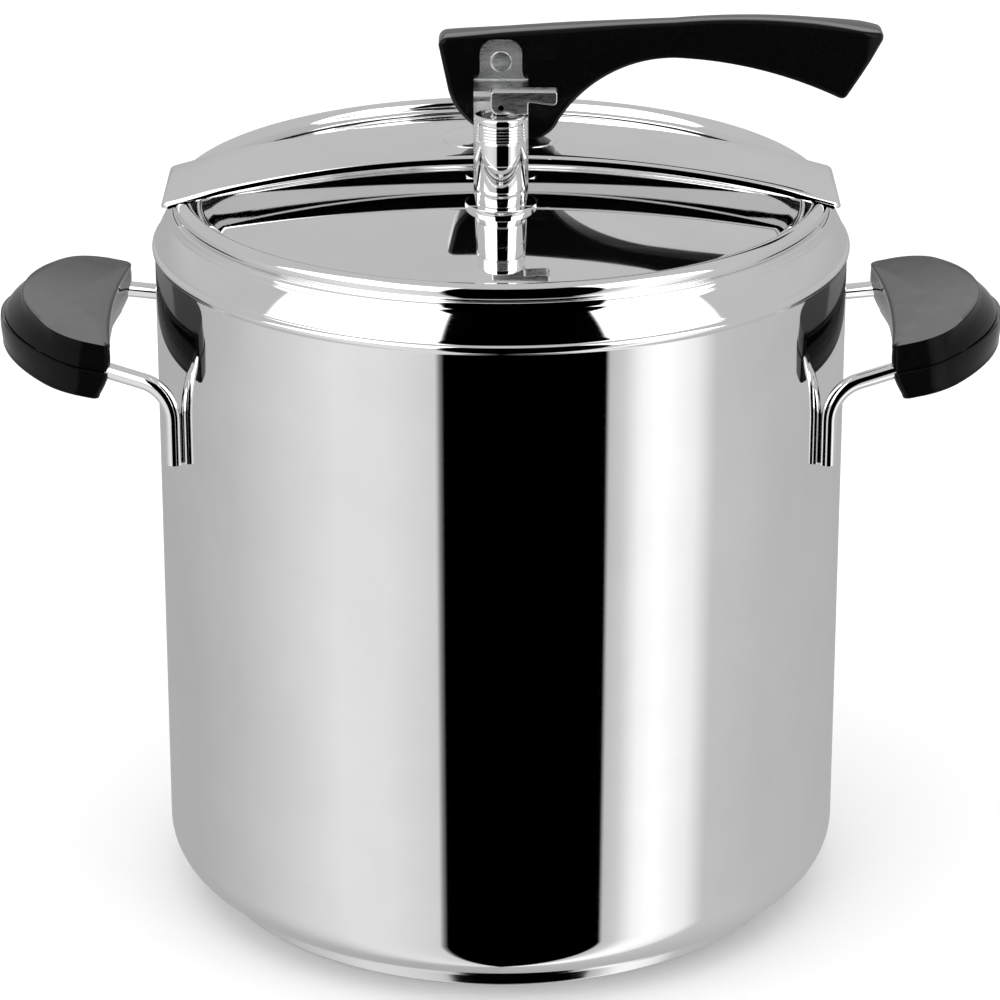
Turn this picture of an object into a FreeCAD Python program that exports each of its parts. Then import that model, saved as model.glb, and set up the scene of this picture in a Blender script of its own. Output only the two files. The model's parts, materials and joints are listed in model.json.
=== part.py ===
"""Stovetop pressure cooker: a lid that seals under the in-turned rim, pulled up by a cam lever.

Millimetres. The origin is the centre of the base where it stands on the stove, +Z is up and
the bridge, the cam lever and the two side handles lie along X.
"""
import FreeCAD, Part
import math
import os
import re

import Sketcher
from FreeCAD import Placement, Rotation, Vector

doc = FreeCAD.newDocument("PressureCooker")

# ------------------------------------------------------------------ driving dimensions

SIZES = {
    # pot
    "pot_radius": 111.5,        # outside of the wall: 22 cm class
    "wall": 1.0,                # sheet of the pot
    "floor_height": 6.0,        # underside of the pot's floor
    "corner_radius": 14.8,      # floor to wall
    "bead_height": 218.7,       # lower edge of the bead under the neck
    "bead_rise": 2.6,
    "bead_radius": 1.56,
    "neck_bow": 50.0,           # radius of the neck's gentle bulge
    "neck_radius": 106.4,
    "neck_height": 231.2,
    "band_rise": 2.4,           # upright band between neck and rim
    "rim_radius": 102.65,       # centre of the rolled rim's section
    "rim_height": 235.35,
    "rim_section": 2.85,
    # sandwich base
    "base_radius": 96.9,
    "cap_wall": 0.7,
    "cap_edge": 0.9,            # small radius where the cap meets the stove
    "cap_side": 3.0,
    "core_inset": 1.2,
    # side handles
    "rod_radius": 2.6,
    "leg_height": 160.0,        # lower end of each welded leg
    "leg_spread": 47.5,         # legs stand at plus and minus this Y
    "loop_spread": 34.0,        # the loop's outer corners, inside the grip
    "loop_reach": 24.0,
    "leg_bend": 12.0,
    "loop_bend": 10.0,
    "grip_x": 124.3,            # inner edge of the grip on its parting plane
    "grip_z": 189.1,
    "grip_tilt": 11.8,          # degrees, rising outward
    "grip_inner_bow": 350.0,
    "grip_shoulder": 7.0,       # where the straight side of the grip ends
    "grip_corner": 18.0,
    "upper_height": 8.9,
    "lower_height": 9.5,
    "parting_inner": -0.5,      # along the grip's frame, on the parting plane
    "upper_reach": 37.4,
    "upper_half": 44.2,
    "upper_face_inner": 1.0,
    "upper_face_reach": 32.3,
    "upper_face_half": 43.4,
    "lower_reach": 38.6,
    "lower_half": 45.0,
    "lower_face_inner": 1.4,
    "lower_face_reach": 36.2,
    "lower_face_half": 44.0,
    "grip_edge": 2.0,
    "screw_reach": 13.0,
    "screw_spread": 16.0,
    "screw_radius": 1.5,
    "screw_head_radius": 3.1,
    "screw_head_height": 1.8,
    "screw_length": 12.0,
    # bridge
    "bridge_width": 42.0,
    "bridge_sheet": 1.6,
    "arch_top": 253.8,
    "arch_radius": 395.0,
    "hook_out": 109.4,
    "hook_bend": 2.4,
    "hook_tip": 236.2,
    "hook_clear": 10.0,         # how far the trim outside the hooks reaches
    "toe_setback": 2.0,
    "toe_drop": 0.6,
    "foot_x": 101.6,
    "foot_z": 238.6,
    "skirt_rise": 7.6,
    "channel_end": 103.5,
    "bridge_edge": 1.2,
    "pad_length": 38.0,
    "pad_width": 24.0,
    "pad_top": 254.2,
    # stirrup
    "stirrup_half": 8.6,        # half length of its strip along X
    "strap_sheet": 1.6,
    "strap_out": 24.0,          # outer faces of the side plates
    "shelf_top": 275.0,
    "strap_bottom": 244.2,
    "strap_bend": 3.0,
    "ear_gap": 6.8,             # inner faces of the ears
    "ear_half": 6.7,
    "ear_rise": 6.7,            # top of the ears above the pivot
    "ear_corner": 4.5,
    "ear_flare": 4.0,           # hollow where each ear widens to the strip
    "flare_rise": 3.2,
    # cam lever
    "pivot_z": 281.0,
    "cam_height": 26.5,         # pivot to foot when locked
    "cam_lead": 5.85,           # the foot is an involute of a circle of this radius
    "cam_turn": 77.4,           # degrees from locked to open, where the head's flat back rests
    "heel_x": -19.8,            # upper end of the flat back
    "heel_rise": 4.4,
    "heel_corner": 3.0,
    "crown_x": -17.0,           # the top edge, from the head to the tip
    "crown_rise": 7.0,
    "back_x": 55.0,
    "back_rise": 11.3,
    "back_bow": 1600.0,
    "tip_bow": 245.0,
    "toe_x": 10.0,              # the outline forward from the foot
    "toe_radius": 10.4,
    "shin_x": 18.4,
    "shin_rise": 6.4,
    "knee_x": 20.6,
    "knee_rise": 9.6,
    "knee_hollow": 43.0,
    "palm_x": 55.3,
    "palm_hollow": 140.0,
    "tip_low_x": 107.4,
    "tip_low_drop": 12.6,
    "tip_low_radius": 2.2,
    "tip_end_x": 110.0,
    "tip_end_drop": 11.5,
    "tip_top_x": 120.9,
    "tip_top_rise": 5.8,
    "tip_top_radius": 1.9,
    "tip_crown_x": 119.6,
    "tip_crown_rise": 8.5,
    "lever_thick": 17.0,
    "head_half": 6.5,
    "plan_start": -30.0,        # the lever in plan: its hollow flanks and its narrower nose
    "plan_end": 130.0,
    "plan_margin": 3.0,
    "waist_x": 22.0,
    "waist_bow": 520.0,
    "haunch_x": 113.0,
    "haunch_inset": 0.4,
    "nose_x": 121.6,
    "nose_half": 3.6,
    "nose_bow": 9.0,
    "bush_radius": 4.0,
    "pin_radius": 2.5,
    "pin_fit": 0.05,
    "pin_head_radius": 3.4,
    "pin_head_height": 0.9,
    # lid
    "lid_top": 244.2,
    "dome_radius": 467.0,
    "lid_sheet": 1.2,
    "dome_end": 96.0,
    "lid_bend": 3.0,
    "lid_wall_radius": 98.4,
    "lid_wall_top": 231.3,
    "flange_radius": 99.3,
    "flange_top": 227.6,
    "flange_bottom": 226.4,
    "gasket_radius": 104.6,
    "gasket_top": 230.9,
    "gasket_bevel": 1.2,
    "gasket_lip": 0.8,
    "stud_radius": 2.9,
    "stud_head_radius": 5.0,
    "stud_head_height": 2.5,
    "stud_end": 236.0,
    "stud_washer_radius": 7.5,
    "stud_nut_flats": 10.0,
    "stud_nut_height": 4.0,
    "washer_sheet": 1.2,
    "part_gap": 0.1,            # play between pieces that only just miss each other
    # steam valve
    "valve_y": -36.5,
    "valve_seat": 243.6,
    "valve_seat_radius": 11.3,
    "valve_shank": 5.0,
    "valve_hole": 5.2,
    "valve_foot": 231.0,
    "seat_under": 240.4,        # lower face of both raised seats
    "valve_ring_radius": 7.5,
    "ring_edge": 0.4,
    "valve_ring_top": 248.0,
    "valve_radius": 7.9,
    "valve_shoulder": 264.0,
    "valve_neck": 6.9,
    "valve_top": 268.0,
    "chamber_radius": 4.8,
    "chamber_floor": 246.0,
    "orifice": 1.4,
    "collar_radius": 8.4,
    "collar_top": 272.0,
    "groove_pitch": 1.0,
    "groove_depth": 0.45,
    "valve_nut_flats": 17.0,
    "valve_nut_height": 4.4,
    "valve_bead": 0.6,
    "valve_edge": 0.4,
    "valve_seal_radius": 9.6,
    "shank_step": 1.0,
    "collar_edge": 1.2,
    "seal_height": 1.4,
    # vent stem and its toggle
    "plug_radius": 3.4,
    "stem_foot": 247.8,
    "stem_flange": 1.2,
    "flange_reach": 4.2,
    "stem_radius": 1.9,
    "stem_play": 0.5,
    "tongue_half": 1.3,
    "tongue_rise": 1.5,         # end of the tongue above the toggle's pin
    "tongue_depth": 1.5,
    "toggle_z": 274.6,
    "toggle_height": 2.3,
    "toggle_lift": 1.0,
    "toggle_half": 3.0,
    "toggle_pin": 0.9,
    "root_x": 8.4,              # right side of the toggle's root block
    "root_edge": 0.8,
    "bar_start": -3.2,          # the bar, measured from the toggle's pin
    "bar_end": 17.4,
    "bar_top": 5.0,
    "bar_low": 1.6,
    "bar_drop": 0.7,
    "bar_corner": 1.4,
    "bar_edge": 0.6,
    "slot_start": -5.0,
    "slot_end": 3.2,
    "slot_rise": 3.0,
    "slot_play": 0.4,
    "spring_wire": 0.35,
    "coil_gap": 0.05,
    "vent_spring_radius": 3.2,
    # safety valve
    "safety_y": 38.0,
    "safety_seat": 243.4,
    "safety_seat_radius": 8.6,
    "safety_shank": 4.0,
    "safety_foot": 233.0,
    "safety_flange": 7.5,
    "safety_flange_top": 246.0,
    "safety_top": 248.5,
    "safety_bore": 2.9,
    "safety_floor": 2.0,        # thickness of the body's floor
    "safety_roof": 1.2,
    "safety_crown": 5.0,
    "safety_edge": 0.6,
    "safety_rim": 0.5,
    "safety_hole": 1.3,
    "piston_play": 0.3,
    "piston_head": 2.0,
    "piston_rod": 1.0,
    "safety_seal_radius": 7.4,
    "safety_nut_flats": 13.0,
    "safety_nut_height": 3.6,
    "safety_spring_radius": 2.0,
}

VENT_TURNS = 9
SAFETY_TURNS = 6

sheet = doc.addObject("Spreadsheet::Sheet", "Sizes")
for row, (alias, number) in enumerate(SIZES.items(), start=1):
    sheet.set(f"A{row}", alias)
    sheet.set(f"B{row}", str(number))
    sheet.setAlias(f"B{row}", alias)
doc.recompute()

sub_parts = []


# ------------------------------------------------------------------ helpers

def bound(text):
    """The expression with every dimension's name pointing at the sheet."""
    return re.sub(r"[a-z_]+", lambda word: "Sizes." + word[0] if word[0] in SIZES else word[0], str(text))


def size(text):
    """The expression's value now."""
    return float(sheet.evalExpression(bound(text)))


def keep(item, label):
    """Marks an object as one of the cooker's sub-parts."""
    item.Label = label
    sub_parts.append(item)
    return item


def at(x, y, z):
    """A placement that only moves."""
    return Placement(Vector(size(x), size(y), size(z)), Rotation())


def new_body(name, placement=None):
    body = doc.addObject("PartDesign::Body", name)
    body.Placement = placement or Placement()
    return body


def plane_of(body, role):
    return next(item for item in body.Origin.OriginFeatures if item.Role == role)


def arc_between(start, end, turn, radius):
    """The short arc from start to end that turns left (ccw) or right (cw)."""
    chord = end - start
    left = Vector(-chord.y, chord.x, 0).normalize()
    reach = math.sqrt(max(radius ** 2 - (chord.Length / 2) ** 2, 0.0))
    side = 1 if turn == "ccw" else -1
    centre = start + chord * 0.5 + left * (side * reach)
    first, last = (start, end) if turn == "ccw" else (end, start)
    angles = [math.atan2(point.y - centre.y, point.x - centre.x) for point in (first, last)]
    if angles[1] < angles[0]:
        angles[1] += 2 * math.pi
    return Part.ArcOfCircle(Part.Circle(centre, Vector(0, 0, 1), radius), *angles)


def new_sketch(body, role, offset="0"):
    """An empty sketch on one of the body's origin planes, raised by the offset."""
    sketch = body.newObject("Sketcher::SketchObject", "Outline")
    sketch.AttachmentSupport = [(plane_of(body, role), "")]
    sketch.MapMode = "FlatFace"
    if offset != "0":
        sketch.setExpression("AttachmentOffset.Base.z", bound(offset))
        sketch.AttachmentOffset = Placement(Vector(0, 0, size(offset)), Rotation())
    return sketch


def pin_coordinate(sketch, kind, curve, end, text):
    """Ties one coordinate of a curve's end to an expression of the sheet."""
    if str(text) == "0":
        axis = -2 if kind == "DistanceX" else -1
        sketch.addConstraint(Sketcher.Constraint("PointOnObject", curve, end, axis))
        return
    index = sketch.addConstraint(Sketcher.Constraint(kind, -1, 1, curve, end, size(text)))
    sketch.setExpression(f"Constraints[{index}]", bound(text))


def add_loop(sketch, points):
    """A closed outline: (x, y) leads on by a line, (x, y, turn, radius) by an arc."""
    corners = [Vector(size(point[0]), size(point[1]), 0) for point in points]
    ends = []
    for number, point in enumerate(points):
        start = corners[number]
        end = corners[(number + 1) % len(points)]
        if len(point) == 2:
            curve = sketch.addGeometry(Part.LineSegment(start, end), False)
            ends.append((curve, 1, 2))
            continue
        arc = arc_between(start, end, point[2], size(point[3]))
        curve = sketch.addGeometry(arc, False)
        ends.append((curve, 1, 2) if point[2] == "ccw" else (curve, 2, 1))
        index = sketch.addConstraint(Sketcher.Constraint("Radius", curve, size(point[3])))
        sketch.setExpression(f"Constraints[{index}]", bound(point[3]))
    for number, point in enumerate(points):
        curve, first, _ = ends[number]
        before, _, last = ends[number - 1]
        sketch.addConstraint(Sketcher.Constraint("Coincident", before, last, curve, first))
        pin_coordinate(sketch, "DistanceX", curve, first, point[0])
        pin_coordinate(sketch, "DistanceY", curve, first, point[1])


def add_circle(sketch, x, y, radius):
    centre = Vector(size(x), size(y), 0)
    curve = sketch.addGeometry(Part.Circle(centre, Vector(0, 0, 1), size(radius)), False)
    index = sketch.addConstraint(Sketcher.Constraint("Radius", curve, size(radius)))
    sketch.setExpression(f"Constraints[{index}]", bound(radius))
    pin_coordinate(sketch, "DistanceX", curve, 3, x)
    pin_coordinate(sketch, "DistanceY", curve, 3, y)


def box_points(left, low, right, high):
    return [(left, low), (right, low), (right, high), (left, high)]


def pad(body, sketch, length, symmetric=True, reverse=False):
    feature = body.newObject("PartDesign::Pad", "Pad")
    feature.Profile = sketch
    feature.setExpression("Length", bound(length))
    feature.SideType = "Symmetric" if symmetric else "One side"
    feature.Reversed = reverse
    doc.recompute()
    return feature


def pocket(body, sketch, length=None, symmetric=True, reverse=False):
    """Cuts the sketch out of the body and makes sure that it did."""
    before = body.Shape.Volume
    feature = body.newObject("PartDesign::Pocket", "Pocket")
    feature.Profile = sketch
    feature.Type = "ThroughAll" if length is None else "Length"
    if length is not None:
        feature.setExpression("Length", bound(length))
    feature.Midplane = symmetric
    feature.Reversed = reverse
    doc.recompute()
    if body.Shape.Volume > before - 1e-3:
        raise RuntimeError(f"{body.Name}: a pocket cut nothing")
    return feature


def fillet(body, radius, wanted):
    """Rounds the edges of the body's newest feature that the test picks."""
    base = body.Tip
    names = [f"Edge{number}" for number, edge in enumerate(base.Shape.Edges, start=1) if wanted(edge)]
    feature = body.newObject("PartDesign::Fillet", "Round")
    feature.Base = (base, names)
    feature.setExpression("Radius", bound(radius))
    doc.recompute()
    return feature


def middle(edge):
    return edge.valueAt((edge.FirstParameter + edge.LastParameter) / 2)


def turned(label, points, placement=None):
    """A part turned on a lathe: the outline's x is its radius, its y the height."""
    body = new_body("Turned", placement)
    sketch = new_sketch(body, "XZ_Plane")
    add_loop(sketch, points)
    feature = body.newObject("PartDesign::Revolution", "Turning")
    feature.Profile = sketch
    feature.ReferenceAxis = (sketch, ["V_Axis"])
    doc.recompute()
    return keep(body, label)


def hex_nut(label, flats, height, bore, x, y, z):
    """A hexagonal nut standing on z, with a plain bore."""
    prism = doc.addObject("Part::Prism", "Hexagon")
    prism.Polygon = 6
    prism.setExpression("Circumradius", bound(f"{flats} / sqrt(3)"))
    prism.setExpression("Height", bound(height))
    hole = doc.addObject("Part::Cylinder", "Bore")
    hole.setExpression("Radius", bound(bore))
    hole.setExpression("Height", bound(height))
    for item in (prism, hole):
        item.Placement = at(x, y, z)
    nut = doc.addObject("Part::Cut", "Nut")
    nut.Base = prism
    nut.Tool = hole
    return keep(nut, label)


def coil_spring(label, radius, low, high, turns, x, y):
    """A coil of round wire between two heights."""
    helix = doc.addObject("Part::Helix", "Coil")
    helix.setExpression("Radius", bound(radius))
    helix.setExpression("Height", bound(f"({high}) - ({low}) - 2 * spring_wire"))
    helix.setExpression("Pitch", bound(f"(({high}) - ({low}) - 2 * spring_wire) / {turns}"))
    wire = doc.addObject("Part::Circle", "Wire")
    wire.setExpression("Radius", bound("spring_wire"))
    base = at(x, y, f"({low}) + spring_wire")
    helix.Placement = base
    wire.Placement = base * Placement(Vector(size(radius), 0, 0), Rotation(Vector(1, 0, 0), 90))
    spring = doc.addObject("Part::Sweep", "Spring")
    spring.Sections = [wire]
    doc.recompute()
    spring.Spine = (helix, ["Edge1"])
    spring.Solid = True
    spring.Frenet = True
    return keep(spring, label)


# ------------------------------------------------------------------ pot

def make_pot():
    rim_out = "rim_radius + rim_section"
    rim_in = "rim_radius - rim_section"
    inner_neck = "neck_radius - 1.1 * wall"
    turned("pot_shell", [
        ("0", "floor_height"),
        ("pot_radius - corner_radius", "floor_height", "ccw", "corner_radius"),
        ("pot_radius", "floor_height + corner_radius"),
        ("pot_radius", "bead_height", "ccw", "bead_radius"),
        ("pot_radius", "bead_height + bead_rise", "ccw", "neck_bow"),
        ("neck_radius", "neck_height"),
        ("neck_radius - 0.3 * wall", "neck_height + band_rise"),
        (rim_out + " - 0.5 * wall", "neck_height + band_rise + 0.3 * wall"),
        (rim_out, "rim_height", "ccw", "rim_section"),
        ("rim_radius", "rim_height + rim_section", "ccw", "rim_section"),
        (rim_in, "rim_height"),
        (rim_in, "rim_height - 0.6 * rim_section", "ccw", "rim_section"),
        ("rim_radius - 0.4 * rim_section", "neck_height + 0.1 * wall"),
        (inner_neck + " - 0.4 * wall", "neck_height + 0.1 * wall"),
        (inner_neck, "neck_height - 0.3 * wall", "cw", "neck_bow - wall"),
        ("pot_radius - wall", "bead_height + bead_rise - 0.3 * wall"),
        ("pot_radius - wall", "floor_height + corner_radius", "cw", "corner_radius - wall"),
        ("pot_radius - corner_radius", "floor_height + wall"),
        ("0", "floor_height + wall"),
    ])
    core = doc.addObject("Part::Cylinder", "Core")
    core.setExpression("Radius", bound("base_radius - core_inset"))
    core.setExpression("Height", bound("floor_height - cap_wall"))
    core.Placement = at("0", "0", "cap_wall")
    keep(core, "base_core")
    turned("base_cap", [
        ("0", "0"),
        ("base_radius - cap_edge", "0", "ccw", "cap_edge"),
        ("base_radius", "cap_edge"),
        ("base_radius", "cap_side"),
        ("base_radius - 0.5 * cap_wall", "floor_height"),
        ("base_radius - core_inset", "floor_height"),
        ("base_radius - core_inset", "cap_wall"),
        ("0", "cap_wall"),
    ])


# ------------------------------------------------------------------ side handles

def rounded_wire(points, radii):
    """Straight runs joined by tangent arcs at the inner points."""
    edges = []
    start = points[0]
    for before, corner, after, radius in zip(points, points[1:], points[2:], radii):
        inward = (before - corner).normalize()
        outward = (after - corner).normalize()
        half = inward.getAngle(outward) / 2
        setback = radius / math.tan(half)
        bisector = (inward + outward).normalize()
        first = corner + inward * setback
        last = corner + outward * setback
        middle_point = corner + bisector * (radius / math.sin(half) - radius)
        edges.append(Part.LineSegment(start, first).toShape())
        edges.append(Part.Arc(first, middle_point, last).toShape())
        start = last
    edges.append(Part.LineSegment(start, points[-1]).toShape())
    return Part.Wire(edges)


def grip_frame():
    """The right grip's own frame: X outward along the tilt, Z out of the parting plane."""
    tilt = Rotation(Vector(0, 1, 0), -size("grip_tilt"))
    return Placement(Vector(size("grip_x"), 0, size("grip_z")), tilt)


def rod_points():
    """The loop's corners on the right side: leg, leg's bend, loop's corner, and back."""
    stand = size("pot_radius + rod_radius")
    leg_y = size("leg_spread")
    leg_x = math.sqrt(stand ** 2 - leg_y ** 2)
    slope = math.tan(math.radians(size("grip_tilt")))
    bend_z = size("grip_z") - slope * (size("grip_x") - leg_x)
    corner = grip_frame().multVec(Vector(size("loop_reach"), -size("loop_spread"), 0))
    near = [Vector(leg_x, -leg_y, size("leg_height")), Vector(leg_x, -leg_y, bend_z), corner]
    far = [Vector(point.x, -point.y, point.z) for point in reversed(near)]
    return near + far


def grip_outline(inner, reach, half):
    """A D: slightly hollow inner edge, straight sides, and an outer bow of three arcs."""
    length = f"(({reach}) - grip_shoulder)"
    rise = f"(({half}) - grip_corner)"
    bow = f"(({length}^2 + {rise}^2 - grip_corner^2) / (2 * ({length} - grip_corner)))"
    centre = f"(({reach}) - {bow})"
    share = f"({bow} / ({bow} - grip_corner))"
    join_x = f"{centre} + (grip_shoulder - {centre}) * {share}"
    join_y = f"{rise} * {share}"
    return [
        (inner, f"-({half})"),
        ("grip_shoulder", f"-({half})", "ccw", "grip_corner"),
        (join_x, f"-({join_y})", "ccw", bow),
        (join_x, join_y, "ccw", "grip_corner"),
        ("grip_shoulder", half),
        (inner, half, "cw", "grip_inner_bow"),
    ]


def grip_half(name, placement, height, parting, face):
    """One half of a grip, lofted from its parting face to its smaller outer face."""
    body = new_body(name, placement)
    levels = sorted([("0", parting), (height, face)], key=lambda row: -size(row[0]))
    sketches = []
    for level_text, numbers in levels:
        sketch = new_sketch(body, "XY_Plane", level_text)
        add_loop(sketch, grip_outline(*numbers))
        sketches.append(sketch)
    loft = body.newObject("PartDesign::AdditiveLoft", "Loft")
    loft.Profile = sketches[0]
    loft.Sections = sketches[1:]
    doc.recompute()
    level = size(height)

    def on_outer_face(edge):
        return all(abs(vertex.Point.z - level) < 1e-3 for vertex in edge.Vertexes)

    fillet(body, "grip_edge", on_outer_face)
    return body


def bore_for_screws(body, radius, low, height):
    sketch = new_sketch(body, "XY_Plane", low)
    for side in ("-screw_spread", "screw_spread"):
        add_circle(sketch, "screw_reach", side, radius)
    pocket(body, sketch, height, symmetric=False, reverse=True)


def screw(frame, spread):
    """One screw, head down, in the grip's frame."""
    pieces = []
    rows = (("screw_head_radius", "screw_head_height", "-lower_height"),
            ("screw_radius", "screw_length", "-lower_height + screw_head_height"))
    for radius, height, low in rows:
        piece = doc.addObject("Part::Cylinder", "ScrewPart")
        piece.setExpression("Radius", bound(radius))
        piece.setExpression("Height", bound(height))
        piece.Placement = frame * at("screw_reach", spread, low)
        pieces.append(piece)
    whole = doc.addObject("Part::Fuse", "Screw")
    whole.Base, whole.Tool = pieces
    return whole


def make_handle(side, turn):
    """The loop, the two grip halves and their screws on one side of the pot."""
    around = Placement(Vector(), Rotation(Vector(0, 0, 1), turn))
    frame = around * grip_frame()
    points = [around.multVec(point) for point in rod_points()]
    bends = [size(text) for text in ("leg_bend", "loop_bend", "loop_bend", "leg_bend")]
    path = doc.addObject("Part::Feature", "LoopPath")
    path.Shape = rounded_wire(points, bends)
    section = doc.addObject("Part::Circle", "LoopSection")
    section.setExpression("Radius", bound("rod_radius"))
    section.Placement = Placement(points[0], Rotation())
    doc.recompute()
    rod = doc.addObject("Part::Sweep", "Loop")
    rod.Sections = [section]
    rod.Spine = (path, [f"Edge{number}" for number in range(1, len(path.Shape.Edges) + 1)])
    rod.Solid = True
    rod.Frenet = False
    doc.recompute()
    keep(rod, f"{side}_handle_rod")

    upper = grip_half("GripUpper", frame, "upper_height",
                      ("parting_inner", "upper_reach", "upper_half"),
                      ("upper_face_inner", "upper_face_reach", "upper_face_half"))
    bore_for_screws(upper, "screw_radius", "0", "screw_length + screw_head_height - lower_height")
    lower = grip_half("GripLower", frame, "-lower_height",
                      ("parting_inner", "lower_reach", "lower_half"),
                      ("lower_face_inner", "lower_face_reach", "lower_face_half"))
    bore_for_screws(lower, "screw_radius", "-lower_height", "lower_height")
    bore_for_screws(lower, "screw_head_radius", "-lower_height", "screw_head_height")
    for name, body in (("upper", upper), ("lower", lower)):
        grooved = doc.addObject("Part::Cut", "Grip")
        grooved.Base = body
        grooved.Tool = rod
        keep(grooved, f"{side}_grip_{name}")
    screws = doc.addObject("Part::Compound", "Screws")
    screws.Links = [screw(frame, "-screw_spread"), screw(frame, "screw_spread")]
    keep(screws, f"{side}_grip_screws")


# ------------------------------------------------------------------ bridge and stirrup

def make_bridge():
    body = new_body("Bridge")
    hook_centre = "(hook_out - hook_bend)"
    arch_end = f"({hook_centre} * arch_radius / (arch_radius - hook_bend))"
    arch_z = f"arch_top - arch_radius + sqrt(arch_radius^2 - {arch_end}^2)"
    shoulder = f"arch_top - arch_radius + sqrt((arch_radius - hook_bend)^2 - {hook_centre}^2)"
    hook_in = "(hook_out - bridge_sheet)"
    shoe_x = f"({hook_in} - toe_setback)"
    toe_z = "foot_z - toe_drop"
    skirt_bow = "(foot_x^2 + skirt_rise^2) / (2 * skirt_rise)"
    side = new_sketch(body, "XZ_Plane")
    add_loop(side, [
        ("hook_out", "hook_tip"),
        ("hook_out", shoulder, "ccw", "hook_bend"),
        (arch_end, arch_z, "ccw", "arch_radius"),
        (f"-{arch_end}", arch_z, "ccw", "hook_bend"),
        ("-hook_out", shoulder),
        ("-hook_out", "hook_tip"),
        (f"-{hook_in}", "hook_tip"),
        (f"-{hook_in}", shoulder),
        (f"-{shoe_x}", toe_z),
        ("-foot_x", "foot_z", "cw", skirt_bow),
        ("foot_x", "foot_z"),
        (shoe_x, toe_z),
        (hook_in, shoulder),
        (hook_in, "hook_tip"),
    ])
    pad(body, side, "bridge_width")
    under = "(arch_radius - bridge_sheet)"
    under_z = f"arch_top - arch_radius + sqrt({under}^2 - channel_end^2)"
    channel = new_sketch(body, "XZ_Plane")
    add_loop(channel, [
        ("channel_end", "hook_tip"),
        ("channel_end", under_z, "ccw", under),
        ("-channel_end", under_z),
        ("-channel_end", "hook_tip"),
    ])
    pocket(body, channel, "bridge_width - 2 * bridge_sheet")
    half = size("bridge_width / 2")
    centre = Vector(0, 0, size("arch_top - arch_radius"))

    def outer_top_edge(edge):
        point = middle(edge)
        height = (Vector(point.x, 0, point.z) - centre).Length
        return abs(abs(point.y) - half) < 1e-3 and abs(height - size("arch_radius")) < 1e-3

    fillet(body, "bridge_edge", outer_top_edge)
    outside = new_sketch(body, "XY_Plane", "arch_top")
    add_circle(outside, "0", "0", "hook_out")
    add_circle(outside, "0", "0", "hook_out + hook_clear")
    pocket(body, outside)
    inside = new_sketch(body, "XY_Plane", "hook_tip")
    add_circle(inside, "0", "0", hook_in)
    pocket(body, inside, f"{toe_z} - hook_tip", symmetric=False, reverse=True)
    oval = new_sketch(body, "XY_Plane", "pad_top")
    straight = "(pad_length - pad_width) / 2"
    add_loop(oval, [
        (f"-{straight}", "-pad_width / 2"),
        (straight, "-pad_width / 2", "ccw", "pad_width / 2"),
        ("pad_length / 2", "0", "ccw", "pad_width / 2"),
        (straight, "pad_width / 2"),
        (f"-{straight}", "pad_width / 2", "ccw", "pad_width / 2"),
        ("-pad_length / 2", "0", "ccw", "pad_width / 2"),
    ])
    pad(body, oval, "pad_top - arch_top + 0.5 * bridge_sheet", symmetric=False, reverse=True)
    keep(body, "bridge")


def make_stirrup():
    body = new_body("Stirrup")
    inner = "(strap_out - strap_sheet)"
    loop = new_sketch(body, "YZ_Plane")
    add_loop(loop, box_points("-strap_out", "strap_bottom", "strap_out", "shelf_top"))
    add_loop(loop, box_points(f"-{inner}", "strap_bottom + strap_sheet", inner, "shelf_top - strap_sheet"))
    pad(body, loop, "2 * stirrup_half")
    outer_y = size("strap_out")
    inner_y = size(inner)

    def bend(edge, y):
        point = middle(edge)
        along_x = abs(abs(edge.tangentAt(edge.FirstParameter).x) - 1) < 1e-6
        return along_x and abs(abs(point.y) - y) < 1e-3

    fillet(body, "strap_bend", lambda edge: bend(edge, outer_y))
    fillet(body, "strap_bend - strap_sheet", lambda edge: bend(edge, inner_y))
    ear_top = "(pivot_z + ear_rise)"
    for side in (-1, 1):
        ear = new_sketch(body, "XZ_Plane", f"{side} * (ear_gap + strap_sheet / 2)")
        add_loop(ear, [
            ("-stirrup_half", "shelf_top - strap_sheet"),
            ("stirrup_half", "shelf_top - strap_sheet"),
            ("stirrup_half", "shelf_top", "cw", "ear_flare"),
            ("ear_half", "shelf_top + flare_rise"),
            ("ear_half", f"{ear_top} - ear_corner", "ccw", "ear_corner"),
            ("ear_half - ear_corner", ear_top),
            ("-(ear_half - ear_corner)", ear_top, "ccw", "ear_corner"),
            ("-ear_half", f"{ear_top} - ear_corner"),
            ("-ear_half", "shelf_top + flare_rise", "cw", "ear_flare"),
            ("-stirrup_half", "shelf_top"),
        ])
        pad(body, ear, "strap_sheet")
    gap = new_sketch(body, "YZ_Plane")
    add_loop(gap, box_points("-ear_gap", "shelf_top - 2 * strap_sheet", "ear_gap", "shelf_top + strap_sheet"))
    pocket(body, gap)
    eye = new_sketch(body, "XZ_Plane")
    add_circle(eye, "0", "pivot_z", "pin_radius")
    pocket(body, eye)
    stud_hole = new_sketch(body, "XY_Plane", "strap_bottom")
    add_circle(stud_hole, "0", "0", "stud_radius")
    pocket(body, stud_hole, "strap_sheet", symmetric=False, reverse=True)
    keep(body, "stirrup")


# ------------------------------------------------------------------ cam lever

def involute(height, lead, degrees):
    """A point of the foot's outline: its support distance shrinks by lead for each radian."""
    angle = math.radians(degrees)
    support = f"({height} - {lead} * {angle})"
    x = f"({lead}) * {math.cos(angle)} - {support} * {math.sin(angle)}"
    z = f"-({lead}) * {math.sin(angle)} - {support} * {math.cos(angle)}"
    return x, z


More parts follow.
